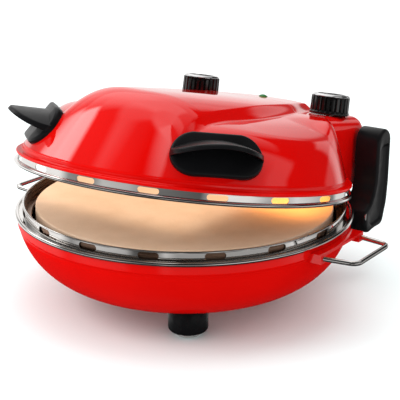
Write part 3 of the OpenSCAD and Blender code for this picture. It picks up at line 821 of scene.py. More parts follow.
@dataclass(frozen=True)
class Stone:
    """The round baking stone with its eased edge."""

    radius: float = 154.0
    top: float = 9.0
    thick: float = 13.0

    def build(self, finishes: Finishes) -> None:
        """Turns the stone's outline about the axis.

        Args:
            finishes: the cooker's finishes.
        """
        r, t, low = self.radius, self.top, self.top - self.thick
        profile = np.concatenate([
            line((0.0, t), (50.0, t), (100.0, t), (r - 4, t)),
            arc(r - 1.4, t - 1.4, 1.4, 90, 0, 7),
            arc(r - 1.0, low + 1.0, 1.0, 0, -90, 6),
            line((80.0, low), (0.0, low)),
        ])
        piece = make_mesh("stone_disc", lathe(profile, 256), Half.BASE, 50)
        dress(piece, finishes.stone, "stone", "base", "baking_stone")


@dataclass(frozen=True)
class SlottedRing:
    """A bright sheet ring: rolled bead, upright wall with obround vents and a rolled edge.

    Args:
        name: the piece's name.
        node: the CAD node that it stands for.
        half: the half of the cooker that carries it.
        wall_r: outer radius of the wall.
        low: height of the wall's foot.
        high: height of the wall's top.
        bead: middle radius, middle height and section radius of the bead.
        slot_mid: height of the vents' middles.
        slot_h: height of a vent.
        gap: angle left open at the back.
        roll_r: section radius of the rolled top edge, 0 for a plain edge.
        slot_l: length of a vent.
        first: bearing of the first vent.
        count: number of vents in a whole turn.
        sheet: thickness of the sheet.
        clear: angle that a cell's middle keeps from the gap's edge.
        roll_steps: steps along the rolled edge and round it.
    """

    name: str
    node: str
    half: Half
    wall_r: float
    low: float
    high: float
    bead: tuple
    slot_mid: float
    slot_h: float
    gap: float = 0.0
    roll_r: float = 0.0
    slot_l: float = 20.0
    first: float = -87.8
    count: int = 17
    sheet: float = 0.8
    clear: float = 4.0
    roll_steps: tuple = (260, 16)

    def quarter(self) -> tuple:
        """One quarter of the vent's outline and of its cell's edge, point for point.

        Five points climb the cell's side against the first 60 degrees of the round end, and the
        rest run along its top against what is left of the vent's outline.

        Returns:
            The vent's points and the points of its cell's edge.
        """
        half_h, half_l = self.slot_h / 2, (self.slot_l - self.slot_h) / 2
        box_l = math.pi * self.wall_r / self.count
        climb = np.linspace(0, 1, 5, endpoint=False)
        along = np.linspace(0, 1, 15)
        bend = half_h * math.pi / 6
        path = along * (bend + half_l)
        turn = np.radians(np.concatenate([60 * climb, 60 + 30 * np.clip(path / bend, 0, 1)]))
        slide = np.concatenate([0 * climb, np.clip(path - bend, 0, None)])
        hole = np.stack([half_l - slide + half_h * np.cos(turn), half_h * np.sin(turn)], axis=1)
        edge_x = np.concatenate([box_l + 0 * climb, box_l * (1 - along)])
        edge_h = np.concatenate([climb, 1 + 0 * along])
        return hole, np.stack([edge_x, edge_h], axis=1)

    @staticmethod
    def all_quarters(quarter: np.ndarray) -> np.ndarray:
        """A closed outline from a quarter that runs from the right to the top."""
        there, back = quarter[:-1], quarter[::-1][:-1]
        return np.concatenate([there, back * (-1, 1), there * (-1, -1), back * (1, -1)])

    def cell(self, bearing: float) -> tuple:
        """The sheet round one vent, with its outer face, its inner face and the vent's lip.

        In the unrolled wall, ring t is (1 - t) times the vent's outline plus t times the cell's edge.
        The four rings past the vent stand closer together near it, as k^1.3 does.

        Args:
            bearing: the vent's bearing in degrees.

        Returns:
            The points in mm and the faces.
        """
        hole, edge = (self.all_quarters(q) for q in self.quarter())
        lift = np.where(edge[:, 1] > 0, self.high - self.slot_mid, self.slot_mid - self.low)
        hole = hole + (0, self.slot_mid)
        edge = np.stack([edge[:, 0], edge[:, 1] * lift + self.slot_mid], axis=1)
        t = np.linspace(0, 1, 5)[:, None, None] ** 1.3
        flat = (1 - t) * hole + t * edge
        turn = np.radians(bearing) + flat[..., 0] / self.wall_r
        outer = np.stack([self.wall_r * np.cos(turn), self.wall_r * np.sin(turn), flat[..., 1]], axis=-1)
        thin = (self.wall_r - self.sheet) / self.wall_r
        points = np.concatenate([outer.reshape(-1, 3), (outer * (thin, thin, 1)).reshape(-1, 3)])
        rows, cols = outer.shape[:2]
        sheet = grid_faces(rows, cols, close_cols=True)
        k = np.arange(cols)
        ahead, shift = (k + 1) % cols, rows * cols
        lip = np.stack([ahead, k, k + shift, ahead + shift], axis=1)
        last = (rows - 1) * cols
        ends = [b for b in (bearing - self.pitch, bearing + self.pitch) if not self.has(b)]
        level = np.isclose(edge[:, 1], edge[ahead, 1])
        side = ~level & np.isin(np.sign(edge[:, 0]), [np.sign(b - bearing) for b in ends])
        rim = (level | side)[:, None] & np.ones(4, bool)
        closed = (lip[:, ::-1] + last)[rim].reshape(-1, 4)
        faces = [*sheet.tolist(), *(sheet[:, ::-1] + shift).tolist(), *lip.tolist(), *closed.tolist()]
        return points, faces

    @property
    def pitch(self) -> float:
        """Angle between two vents, in degrees."""
        return 360 / self.count

    def has(self, bearing: float) -> bool:
        """Whether the wall has a cell at a bearing."""
        return self.gap == 0 or abs((bearing + 90) % 360 - 180) > self.gap / 2 + self.clear

    def bearings(self) -> list:
        """Bearings of the cells that fall outside the gap."""
        return [a for a in (self.first + k * self.pitch for k in range(self.count)) if self.has(a)]

    def rolled_edge(self) -> tuple:
        """The wall's rolled top edge: a round section carried over the bearings that have cells.

        Returns:
            The points in mm and the faces.
        """
        bearings = self.bearings()
        start = 90 + min((a - 90) % 360 for a in bearings) - self.pitch / 2
        turns, sides = self.roll_steps
        section = arc(self.wall_r - self.roll_r, self.high, self.roll_r, 0, 360, sides + 1)[:-1]
        points, _ = lathe(section, turns, start, self.pitch * len(bearings))
        return points, capped_faces(turns, sides)

    def build(self, finishes: Finishes) -> None:
        """Builds the wall from its cells, then the bead, the web behind it and the rolled edge.

        Args:
            finishes: the cooker's finishes.
        """
        parts = [self.cell(bearing) for bearing in self.bearings()]
        cx, cy, r = self.bead
        parts.append(lathe(arc(cx, cy, r, 0, 360, 25), 320))
        near, far, t = self.wall_r - self.sheet, cx - r + self.sheet / 2, self.sheet / 2
        web = line((near, cy - t), (far, cy - t), (far, cy + t), (near, cy + t), (near, cy - t))
        parts.append(lathe(web, 256))
        if self.roll_r:
            parts.append(self.rolled_edge())
        piece = make_mesh(self.name, join(*parts), self.half, 42)
        dress(piece, finishes.bright, "bright_steel", self.half.value, self.node)


@dataclass(frozen=True)
class Feet:
    """Three black feet, each with a bright glide under it."""

    pitch: float = 105.0
    bearings: tuple = (-53.0, 67.0, 187.0)
    radius: float = 19.8
    top: float = -62.0
    waist: float = -80.0
    foot_round: float = 4.2
    glide_r: float = 12.0
    table: float = -95.0
    glide_t: float = 4.4

    def build(self, finishes: Finishes) -> None:
        """Turns each foot and glide about its own axis.

        Args:
            finishes: the cooker's finishes.
        """
        r, low, rim, table = self.radius, self.table + self.glide_t, self.glide_r, self.table
        leg = np.concatenate([
            line((0.0, low), (rim + 1, low), (r - self.foot_round, low)),
            arc(r - self.foot_round, low + self.foot_round, self.foot_round, -90, 0, 9),
            line((r, self.waist), (r, self.top - 2), (r - 2, self.top), (0.0, self.top)),
        ])
        glide = np.concatenate([
            line((0.0, table + 0.9), (3.2, table + 0.9), (3.8, table + 0.1), (rim - 1, table)),
            arc(rim - 1, table + 1, 1.0, -90, 0, 7),
            line((rim, low + 0.3), (0.0, low + 0.3)),
        ])
        turns = np.radians(self.bearings)
        spots = [(self.pitch * math.cos(a), self.pitch * math.sin(a), 0.0) for a in turns]
        legs = join(*(moved(lathe(leg, 96), spot) for spot in spots))
        glides = join(*(moved(lathe(glide, 64), spot) for spot in spots))
        for name, shape, finish, slot, node in (
            ("foot_legs", legs, finishes.foot, "foot_black", "feet"),
            ("foot_discs", glides, finishes.glide, "glide_metal", "foot_glides"),
        ):
            dress(make_mesh(name, shape, Half.BASE, 50), finish, slot, "base", node)


@dataclass(frozen=True)
class SideHandle:
    """A bent wire loop on the bowl's rim."""

    side: int
    wire_r: float = 2.4
    reach: float = 216.0
    middle: float = 8.5
    half: float = 34.5
    root: float = 171.7
    bend: float = 9.0
    lean: float = 9.0
    height: float = -8.0

    def path(self) -> np.ndarray:
        """The wire's middle line: half a grip, a bend and a leaning leg, and the same mirrored.

        Returns:
            The line's points, in mm.
        """
        grip = self.reach - self.wire_r
        turn = arc(grip - self.bend, self.half - self.bend, self.bend, 0, 90 - self.lean, 14)
        slope = math.tan(math.radians(self.lean))
        leg_x = np.linspace(turn[-1, 0], self.root, 8)[1:]
        leg = np.stack([leg_x, turn[-1, 1] + slope * (turn[-1, 0] - leg_x)], axis=1)
        grip_y = np.linspace(0, self.half - self.bend, 5)[:-1]
        half = np.concatenate([np.stack([np.full(4, grip), grip_y], axis=1), turn, leg])
        flat = np.concatenate([half[:0:-1] * (1, -1), half]) + (0, self.middle)
        return np.column_stack([flat, np.full(len(flat), self.height)])

    def build(self, finishes: Finishes) -> None:
        """Carries the wire's circle along its path.

        Args:
            finishes: the cooker's finishes.
        """
        word = side_word(self.side)
        grip = mirrored(tube(self.path(), self.wire_r, 28), self.side)
        piece = make_mesh(f"{word}_wire_grip", grip, Half.BASE, 60)
        dress(piece, finishes.wire, "chrome_wire", "base", f"{word}_side_handle")


@dataclass(frozen=True)
class HingeArm:
    """A tall black arm: an arched top, a foot that reaches forward, a sunk panel and a root block."""

    side: int
    inner_x: float = 114.0
    outer_x: float = 142.0
    edge_r: float = 3.4
    sunk: float = 2.2
    outline: tuple = (
        (160.0, 70.0, 14.9), (159.4, 17.0, 40.0), (155.5, 3.0, 20.0), (148.0, -8.0, 12.0),
        (136.7, -13.8, 4.0), (136.0, -26.0, 30.0), (139.5, -37.5, 6.0), (147.0, -40.0, 12.0),
        (161.0, -38.0, 60.0), (179.0, -38.0, 9.0), (188.0, -13.0, 40.0), (190.0, 10.0, 60.0),
        (190.0, 70.0, 14.9),
    )
    panel: tuple = (
        (164.6, 53.0, 8.0), (164.2, 16.0, 40.0), (160.4, 1.0, 24.0), (152.0, -11.0, 14.0),
        (145.4, -18.0, 4.0), (146.2, -30.0, 5.0), (152.0, -33.5, 5.0), (162.0, -33.0, 30.0),
        (174.8, -31.5, 6.0), (181.0, -13.0, 30.0), (184.6, 10.0, 60.0), (184.9, 53.0, 4.0),
    )
    block_x: tuple = (97.0, 129.0)
    block_h: tuple = (-35.0, -13.0)
    block_r: float = 2.5
    block_back: float = 146.0
    bite: float = 0.6
    bowl: Bowl = field(default_factory=Bowl)

    def arm(self) -> tuple:
        """Stacks outlines from the inner face, over a round edge and the border, down to the panel.

        Returns:
            The points in mm and the faces.
        """
        outer = even_outline(round_corners(list(self.outline), 14), 280)
        panel = even_outline(round_corners(list(self.panel), 12), 280)
        a = np.radians(np.linspace(0, 90, 9))
        round_x = self.outer_x - self.edge_r + self.edge_r * np.sin(a)
        floor = self.outer_x - self.sunk
        inner = ((1.2, self.inner_x), (0.3, self.inner_x + 0.4), (0.0, self.inner_x + 1.4))
        sunk = ((-0.5, self.outer_x), (0.0, self.outer_x - 0.2), (1.9, floor + 0.3), (2.6, floor))
        rings = [(outer, inset, x) for inset, x in inner]
        rings += [(outer, inset, x) for inset, x in zip(self.edge_r * (1 - np.cos(a)), round_x)]
        rings += [(panel, inset, x) for inset, x in sunk]
        stack = [np.column_stack([np.full(len(loop), x), shrink_outline(loop, d)]) for loop, d, x in rings]
        return np.concatenate(stack), capped_faces(len(stack), len(outer))

    def block(self) -> tuple:
        """The root block: a rounded bar that runs forward until it meets the bowl's side.

        Its front lies where the bowl's circle, r = flat_r + sqrt(arc_r^2 - (h - middle)^2), crosses x,
        and a little further in.

        Returns:
            The points in mm and the faces.
        """
        (x0, x1), (h0, h1), r, bowl = self.block_x, self.block_h, self.block_r, self.bowl
        loop = even_outline(round_corners([(x0, h0, r), (x1, h0, r), (x1, h1, r), (x0, h1, r)], 6), 96)
        x, h = loop.T
        bowl_r = bowl.flat_r + np.sqrt(bowl.arc_r**2 - (h - bowl.bottom - bowl.arc_r) ** 2)
        front = np.sqrt(np.minimum(bowl_r, bowl.skirt_r - bowl.step_in) ** 2 - x**2) - self.bite
        rings = [np.column_stack([x, front, h])]
        for inset, back in ((0.0, 2.0), (0.6, 0.6), (2.0, 0.0)):
            small_x, small_h = shrink_outline(loop, inset).T
            rings.append(np.column_stack([small_x, np.full(len(loop), self.block_back - back), small_h]))
        return np.concatenate(rings), capped_faces(len(rings), len(loop))

    def build(self, finishes: Finishes) -> None:
        """Joins the arm and its root block as one moulding.

        Args:
            finishes: the cooker's finishes.
        """
        word = side_word(self.side)
        shape = mirrored(join(self.arm(), self.block()), self.side)
        piece = make_mesh(f"{word}_arm_cover", shape, Half.BASE, 34)
        dress(piece, finishes.arm, "arm_black", "base", f"{word}_hinge_arm")


# ---------- lid ----------


@dataclass(frozen=True)
class Dome:
    """The lid's painted skin: a leaning cone under a soft crown, with a raised ridge to the back.

    Args:
        collar_r: radius of the cone where it leaves the collar.
        collar_top: height at which it leaves it.
        drift: how far the cone's axis leans back for each mm of height.
        taper: how far its radius shrinks for each mm of height.
        blend_low: how far from each other the cone and the crown begin to blend.
        blend_ridge: the same for the cone and the ridge.
        power: how square the ridge's section is.
        flank: width of the ridge's flank.
        wall: thickness of the skin.
        crown: height of the crown at places along Y.
        crest: height of the ridge's crest at places along Y.
        fall: how far the ridge falls from its crest to its shoulder.
        shoulder: half the ridge's width at its shoulder.
        droop: how fast the crown falls to the sides, past droop_x and fading out over droop_y.
        tuck: how far the skin sinks under the housing, easing in over tuck_y and tuck_h and out over tuck_x.
    """

    collar_r: float = 166.0
    collar_top: float = 18.0
    drift: float = 0.31
    taper: float = 0.49
    blend_low: float = 26.0
    blend_ridge: float = 26.0
    power: float = 3.2
    flank: float = 11.0
    wall: float = 2.0
    crown: tuple = (
        (-166, 50), (-130, 58), (-99, 64.6), (-66, 68.6), (-30, 70.2), (11, 71.6), (60, 72.9), (100, 73.5),
        (190, 73.5),
    )
    crest: tuple = (
        (-166, 88.5), (-100, 89), (-70, 89), (-29, 88), (23, 86.5), (70, 84.6), (121, 83), (190, 81),
    )
    fall: tuple = ((-166, 19), (-110, 17), (-80, 15), (-52, 11.5), (26, 4.7), (105, 1.7), (190, 1.5))
    shoulder: tuple = ((-166, 72), (-90, 69), (-52, 68), (20, 66), (60, 62), (105, 56), (142, 46), (190, 44))
    droop: float = 0.0018
    droop_x: float = 50.0
    droop_y: tuple = (45.0, 100.0)
    tuck: float = 1.6
    tuck_y: tuple = (101.0, 106.0)
    tuck_h: tuple = (48.0, 56.0)
    tuck_x: tuple = (105.0, 109.0)

    @staticmethod
    def soft_min(a: np.ndarray, b: np.ndarray, k: float) -> np.ndarray:
        """The lower of two heights, rounded where they come within k of each other."""
        return np.minimum(a, b) - np.maximum(k - np.abs(a - b), 0) ** 2 / (4 * k)

    def side(self, x: np.ndarray, y: np.ndarray) -> np.ndarray:
        """Height of the leaning cone.

        Its circle at height s over the collar has radius collar_r - taper s about (0, drift s), and this
        solves that for s.

        Args:
            x: places across the cooker, in mm.
            y: places along it, in mm.

        Returns:
            The heights, in mm.
        """
        a = self.drift**2 - self.taper**2
        b = 2 * (self.collar_r * self.taper - self.drift * y)
        c = x * x + y * y - self.collar_r**2
        return self.collar_top + (-b + np.sqrt(np.maximum(b * b - 4 * a * c, 0))) / (2 * a)

    def height(self, x: np.ndarray, y: np.ndarray) -> np.ndarray:
        """Height of the skin: the crowned cone, raised to the ridge inside its flanks.

        Args:
            x: places across the cooker, in mm.
            y: places along it, in mm.

        Returns:
            The heights, in mm.
        """
        side = self.side(x, y)
        droop = self.droop * np.maximum(np.abs(x) - self.droop_x, 0) ** 2 * (1 - self.ease(y, *self.droop_y))
        low = self.soft_min(side, station_curve(y, self.crown) - droop, self.blend_low)
        top, inside = self.ridge(x, y)
        high = self.soft_min(side, top, self.blend_ridge)
        return low + np.maximum(high - low, 0) * inside

    def ridge(self, x: np.ndarray, y: np.ndarray) -> tuple:
        """The ridge's own height, and how far inside its flanks each point is, from 0 to 1.

        The height is crest - fall (|x| / shoulder)^power. Across the flank the step is mostly straight,
        with its two ends barely eased.

        Args:
            x: places across the cooker, in mm.
            y: places along it, in mm.

        Returns:
            The heights in mm, and the shares.
        """
        wide = station_curve(y, self.shoulder)
        top = station_curve(y, self.crest) - station_curve(y, self.fall) * (np.abs(x) / wide) ** self.power
        u = (wide + self.flank - np.abs(x)) / self.flank
        return top, 0.7 * np.clip(u, 0, 1) + 0.3 * self.ease(u, 0, 1)

    @staticmethod
    def ease(value: np.ndarray, start: float, end: float) -> np.ndarray:
        """An even step from 0 at the start to 1 at the end: u^2 (3 - 2 u), for u from 0 to 1 between."""
        u = np.clip((value - start) / (end - start), 0, 1)
        return u * u * (3 - 2 * u)

    def columns(self, y: np.ndarray, half: np.ndarray) -> np.ndarray:
        """Places of a row's points from left to right, gathered at the ridge's flanks.

        From the middle, 34 steps reach the shoulder, 12 cross the flank and 40 run out to the edge,
        where they shorten as the sine of an even angle does.

        Args:
            y: the rows' places.
            half: half the width of each row.

        Returns:
            One row of places for each y.
        """
        wide = station_curve(y, self.shoulder)
        top = np.minimum(wide, 0.62 * half)[:, None]
        foot = np.minimum(wide + self.flank, 0.8 * half)[:, None]
        inner = np.linspace(0, 1, 35)[None, :-1] * top
        middle = top + (foot - top) * np.linspace(0, 1, 13)[None, :-1]
        outer = foot + (half[:, None] - foot) * np.sin(np.linspace(0, np.pi / 2, 41))[None, :]
        right = np.concatenate([inner, middle, outer], axis=1)
        return np.concatenate([-right[:, :0:-1], right], axis=1)

    def build(self, finishes: Finishes) -> None:
        """Lays the skin on rows from front to back, and closes it with an inner skin.

        Behind the control housing's front edge the skin sinks a little, to pass under the housing.

        Args:
            finishes: the cooker's finishes.
        """
        rows = 190
        v = np.radians(np.linspace(0.6, 179.4, rows))
        row_y = -self.collar_r * np.cos(v)
        x = self.columns(row_y, self.collar_r * np.sin(v))
        cols = x.shape[1]
        y = row_y[:, None] + 0 * x
        h = self.height(x, y)
        beside = self.ease(np.abs(x), *self.tuck_x)
        h = h - self.tuck * self.ease(y, *self.tuck_y) * self.ease(h, *self.tuck_h) * (1 - beside)
        outer = np.stack([x, y, h], axis=-1)
        fade = np.clip((h - self.collar_top) / 8, 0, 1)
        keep = 1 - self.wall / self.collar_r
        inner = np.stack([x * keep, y * keep, h - self.wall * fade], axis=-1)
        faces = grid_faces(rows, cols)
        edge = np.concatenate([
            np.arange(cols), cols - 1 + cols * np.arange(1, rows),
            (rows - 1) * cols + np.arange(cols - 2, -1, -1), cols * np.arange(rows - 2, 0, -1),
        ])
        shift = rows * cols
        ahead = np.roll(edge, -1)
        lip = np.stack([edge, edge + shift, ahead + shift, ahead], axis=1)
        points = np.concatenate([outer.reshape(-1, 3), inner.reshape(-1, 3)])
        every = faces.tolist() + (faces[:, ::-1] + shift).tolist() + lip.tolist()
        piece = make_mesh("lid_dome", (points, every), Half.LID, 60)
        dress(piece, finishes.red, "red_paint", "lid", "lid_shell")


@dataclass(frozen=True)
class LidRim:
    """The painted collar under the dome, turned out into a rolled lip."""

    collar_r: float = 166.0
    lip_r: float = 172.6
    low: float = 10.4

    def build(self, finishes: Finishes) -> None:
        """Turns the collar's section: upright, a soft turn outwards and a round lip.

        Args:
            finishes: the cooker's finishes.
        """
        outer = np.concatenate([
            line((self.collar_r - 0.9, 19.6), (self.collar_r - 0.15, 18.3), (self.collar_r, 17.0)),
            arc(self.collar_r + 2.4, 15.9, 2.4, 180, 270, 9),
            line((169.4, 13.45)),
            arc(self.lip_r - 1.55, self.low + 1.55, 1.55, 90, -90, 15),
            line((self.collar_r - 2.0, self.low), (self.collar_r - 2.0, 18.0), (self.collar_r - 0.9, 19.6)),
        ])
        piece = make_mesh("lid_lip", lathe(outer, 320), Half.LID, 50)
        dress(piece, finishes.calm_red, "red_paint", "lid", "lid_rim")


@dataclass(frozen=True)
class ControlCover:
    """The painted housing over the hinge: a box with round shoulders and a round back foot.

    Args:
        half_w: half its width.
        back: place of its back along Y.
        top: height of its level top.
        r: radius of its upright corners and of its shoulders.
        barrel_r: radius of the round that it carries about the hinge line.
        front: place of its front edge, where it lies over the lid's skin.
        bite: how far the sides reach into the skin.
        lip_top: height below which the sides start behind the lid's lip instead.
        lip_r: radius at which they start there.
        step: how far over the foot the walls begin, and how far from lip_top they keep.
        turned_in: how far up the shoulder the sides still start at the skin.
        fade: length over which the ridge fades at the back.
        sheet: thickness of the sheet.
    """

    half_w: float = 110.0
    back: float = 190.0
    top: float = 73.5
    r: float = 16.0
    barrel_r: float = 27.5
    front: float = 100.0
    bite: float = 1.5
    lip_top: float = 14.2
    lip_r: float = 174.6
    step: float = 0.6
    turned_in: float = 9.0
    fade: float = 13.0
    sheet: float = 1.8
    dome: Dome = field(default_factory=Dome)

    def foot(self, y: np.ndarray) -> np.ndarray:
        """Height of the lower edge: level, then up round the hinge's barrel."""
        over = np.clip(y - PLACES.hinge_y, 0, self.barrel_r)
        return PLACES.pivot_h - np.sqrt(self.barrel_r**2 - over**2) + 0.1

    def side_start(self, h: np.ndarray, x: float) -> np.ndarray:
        """Where the side wall leaves the dome at each height, sunk a little into it, or the lid's lip.

        Args:
            h: heights, in mm.
            x: how far the wall stands from the middle, in mm.

        Returns:
            The places along Y, in mm.
        """
        s = np.clip(h - self.dome.collar_top, 0, None)
        ring = self.dome.collar_r - self.dome.taper * s
        on_dome = self.dome.drift * s + np.sqrt(np.maximum(ring**2 - x * x, 0)) - self.bite
        behind_lip = math.sqrt(self.lip_r**2 - x * x)
        return np.where(h < self.lip_top, behind_lip, on_dome)

    def plan(self, y0: np.ndarray, inset: float) -> np.ndarray:
        """One level line round the box from its right front to its left front.

        Args:
            y0: where the line starts on each side.
            inset: how far the line lies inside the box's upright faces.

        Returns:
            The line's (x, y) points.
        """
        cx, cy, r = self.half_w - self.r, self.back - self.r, self.r - inset
        right = np.stack([np.full(14, cx + r), np.linspace(y0, cy, 14)], axis=1)
        turn = arc(cx, cy, r, 0, 90, 12)[1:]
        rear = np.stack([np.linspace(cx, -cx, 24)[1:], np.full(23, cy + r)], axis=1)
        turn_left = arc(-cx, cy, r, 90, 180, 12)[1:]
        left = np.stack([np.full(13, -cx - r), np.linspace(cy, y0, 14)[1:]], axis=1)
        return np.concatenate([right, turn, rear, turn_left, left])

    def top_height(self, x: np.ndarray, y: np.ndarray) -> np.ndarray:
        """Height of the housing's top: level, with the lid's ridge carried on until it fades at the back.

        Args:
            x: places across the cooker, in mm.
            y: places along it, in mm.

        Returns:
            The heights, in mm.
        """
        crest, inside = self.dome.ridge(x, y)
        gone = self.back - self.r - 1
        fade = 1 - self.dome.ease(y, gone - self.fade, gone)
        return self.top + np.maximum(crest - self.top, 0) * inside * fade

    def build(self, finishes: Finishes) -> None:
        """Stacks level lines up the walls and over the shoulders, then adds the top and the barrel.

        Args:
            finishes: the cooker's finishes.
        """
        a = np.radians(np.linspace(0, 90, 12))
        below, above = self.lip_top - self.step, self.lip_top + self.step
        walls = np.concatenate([np.linspace(self.step, below, 6), np.linspace(above, self.top - self.r, 14)])
        heights = np.concatenate([walls, self.top - self.r + self.r * np.sin(a[1:])])
        insets = np.concatenate([np.zeros(len(walls)), self.r * (1 - np.cos(a[1:]))])
        lines = []
        for h, inset in zip(heights, insets):
            start = self.front
            if h < self.top - self.r + self.turned_in:
                start = max(start, float(self.side_start(np.array(h), self.half_w - inset)))
            flat = self.plan(start, inset)
            lines.append(np.column_stack([flat, np.maximum(h, self.foot(flat[:, 1]))]))
        cover = np.stack(lines)
        parts = [(cover.reshape(-1, 3), grid_faces(*cover.shape[:2]).tolist())]
        cx = self.half_w - self.r
        top_y = np.linspace(self.front, self.back - self.r, 40)
        top_x = self.dome.columns(top_y, np.full(40, cx))
        top_h = self.top_height(top_x, top_y[:, None] + 0 * top_x)
        top = np.stack([top_x, top_y[:, None] + 0 * top_x, top_h], axis=-1)
        parts.append((top.reshape(-1, 3), grid_faces(*top.shape[:2]).tolist()))
        y = np.linspace(PLACES.hinge_y + 3, self.back, 14)[:, None]
        wide = cx + np.sqrt(np.maximum(self.r**2 - np.clip(y - self.back + self.r, 0, None) ** 2, 0))
        x = wide * np.linspace(-1, 1, 30)[None, :]
        barrel = np.stack([x, y + 0 * x, self.foot(y) + 0 * x], axis=-1)
        parts.append((barrel.reshape(-1, 3), grid_faces(*barrel.shape[:2]).tolist()))
        piece = make_mesh("control_cover", join(*parts), Half.LID, 40)
        wall = piece.modifiers.new("wall", "SOLIDIFY")
        wall.thickness = self.sheet * MM
        wall.offset = -1
        dress(piece, finishes.red, "red_paint", "lid", "control_housing")


@dataclass(frozen=True)
class LidHandle:
    """A fish-tail handle: an obround plate on the slope with an arched visor standing out of it.

    Args:
        side: 1 for the right and -1 for the left.
        bearing: how far round from the front it stands, in degrees.
        yaw: how far it is turned about the line down the slope, in degrees.
        plate_l: length of the plate.
        plate_w: width of the plate.
        plate_t: thickness of the plate.
        edge: radius of the plate's shoulder.
        seat_h: height of the plate's middle on the dome.
        root: place of the visor's root, down the slope from the plate's middle.
        dip: angle of the visor below the slope's normal, in degrees.
        reach: how far the visor stands out at its middle.
        sag: how far the arch's ends lie below its crest.
        thick: thickness of the visor at the plate.
        rim: its thickness at the rim.
        lip: how far the rim's corners are rounded.
    """

    side: int
    bearing: float = 44.6
    yaw: float = 1.4
    plate_l: float = 87.0
    plate_w: float = 45.0
    plate_t: float = 5.5
    edge: float = 3.2
    seat_h: float = 42.0
    root: float = -17.0
    dip: float = 34.0
    reach: float = 35.6
    sag: float = 11.0
    thick: float = 6.0
    rim: float = 4.2
    lip: float = 1.9
    dome: Dome = field(default_factory=Dome)

    def slope(self) -> tuple:
        """The place on the dome: radius, tilt of the normal from level and the slope's round.

        Returns:
            The radius in mm, the tilt in radians and the radius of the round in mm.
        """
        taper = self.dome.taper + self.dome.drift * math.sin(math.radians(90 - self.bearing))
        r = self.dome.collar_r - taper * (self.seat_h - self.dome.collar_top)
        tilt = math.atan(taper)
        return r, tilt, r / math.cos(tilt)

    def lay(self, points: np.ndarray) -> np.ndarray:
        """Puts points drawn on the slope (down it, along the rim, out of it) at their place on the lid.

        The handle is first yawed a little about the line down the slope, and flipped for the left.

        Args:
            points: points on the slope, in mm.

        Returns:
            The points about the rim's middle, in mm.
        """
        r, tilt, _ = self.slope()
        c, s = math.cos(math.radians(self.yaw)), math.sin(math.radians(self.yaw))
        turned = points @ np.array([[1, 0, 0], [0, c, s], [0, -s, c]]) * (1, self.side, 1)
        a = math.radians(-90 + self.bearing * self.side)
        down = np.array([math.sin(tilt) * math.cos(a), math.sin(tilt) * math.sin(a), -math.cos(tilt)])
        along = np.array([-math.sin(a), math.cos(a), 0.0])
        out = np.array([math.cos(tilt) * math.cos(a), math.cos(tilt) * math.sin(a), math.sin(tilt)])
        seat = np.array([r * math.cos(a), r * math.sin(a), self.seat_h])
        return seat + turned @ np.stack([down, along, out])

    def plate(self) -> tuple:
        """Obround rings that close in from the edge to the middle line, with a round shoulder.

        A ring inset by d has end radius w / 2 - d, and lies on the slope's own round.

        Returns:
            The points in mm and the faces.
        """
        round_r = self.slope()[2]
        a = np.radians(np.linspace(0, 90, 10))
        shoulder = self.plate_t - self.edge * (1 - np.sin(a))
        inset = np.concatenate([[2.0, 0.0], self.edge * (1 - np.cos(a)), [6.0, 10.0, 15.0, 19.0, 22.0]])
        level = np.concatenate([[-2.6, -2.0], shoulder, np.full(5, self.plate_t)])
        s = np.linspace(0, 2 * np.pi, 145)[:-1] + np.pi / 144
        r = self.plate_w / 2 - inset[:, None]
        x = r * np.cos(s)
        y = r * np.sin(s) + (self.plate_l - self.plate_w) / 2 * np.sign(np.sin(s))
        z = np.sqrt((round_r + level[:, None]) ** 2 - y * y) - round_r
        return np.stack([x, y, z], axis=-1).reshape(-1, 3), capped_faces(len(inset), len(s))

    def visor(self) -> tuple:
        """A thin arched shelf that stands out of the plate and ends on a wide round.

        At y along it, its upper face lies at R - sqrt(R^2 - y^2) and its lower face at
        R - sqrt((R - t)^2 - y^2) below the crest, for an arch of radius R and thickness t, which thins
        from the plate to the rim. Both run out until they reach the round's height. Each section is a bar
        with two soft front corners, each drawn as the curve (1 - u)^2 start + 2 u (1 - u) corner + u^2 end.

        Returns:
            The points in mm and the faces.
        """
        half = self.plate_l / 2 - 0.4
        arch_r = (self.plate_l**2 / 4 + self.sag**2) / (2 * self.sag)
        cap_r = (self.plate_l**2 / 4 + self.reach**2) / (2 * self.reach)
        dip = math.radians(self.dip)
        y = half * np.sin(np.linspace(-np.pi / 2, np.pi / 2, 73))
        cap = np.sqrt(cap_r**2 - y * y) - cap_r + self.reach
        upper = arch_r - np.sqrt(arch_r**2 - y * y)
        lower = arch_r - np.sqrt((arch_r - self.thick) ** 2 - y * y)
        rim = arch_r - np.sqrt((arch_r - self.rim) ** 2 - y * y)
        foot = -1.2 + 0 * y

        def corner(x: np.ndarray, height: np.ndarray) -> np.ndarray:
            """Place in the section (across the shelf, along it) at a height over the slope."""
            return np.stack([x, (height + x * math.sin(dip)) / math.cos(dip)], axis=-1)

        heel, brow = corner(upper, foot), corner(upper, cap)
        chin, toe = corner(rim, cap), corner(lower, foot)
        run = np.linspace(0, 1, 9)[None, :, None]

        def towards(a: np.ndarray, b: np.ndarray) -> np.ndarray:
            """Step from a towards b, as long as the lip's radius allows.

            Args:
                a: the points to start from.
                b: the points to head for.

            Returns:
                One step for each point.
            """
            step = b - a
            size = np.linalg.norm(step, axis=-1, keepdims=True)
            return step / size * np.minimum(self.lip, 0.4 * size)

        def soft(start: np.ndarray, knee: np.ndarray, end: np.ndarray) -> np.ndarray:
            """The curve round one corner."""
            start, knee, end = start[:, None], knee[:, None], end[:, None]
            return (1 - run) ** 2 * start + 2 * run * (1 - run) * knee + run**2 * end

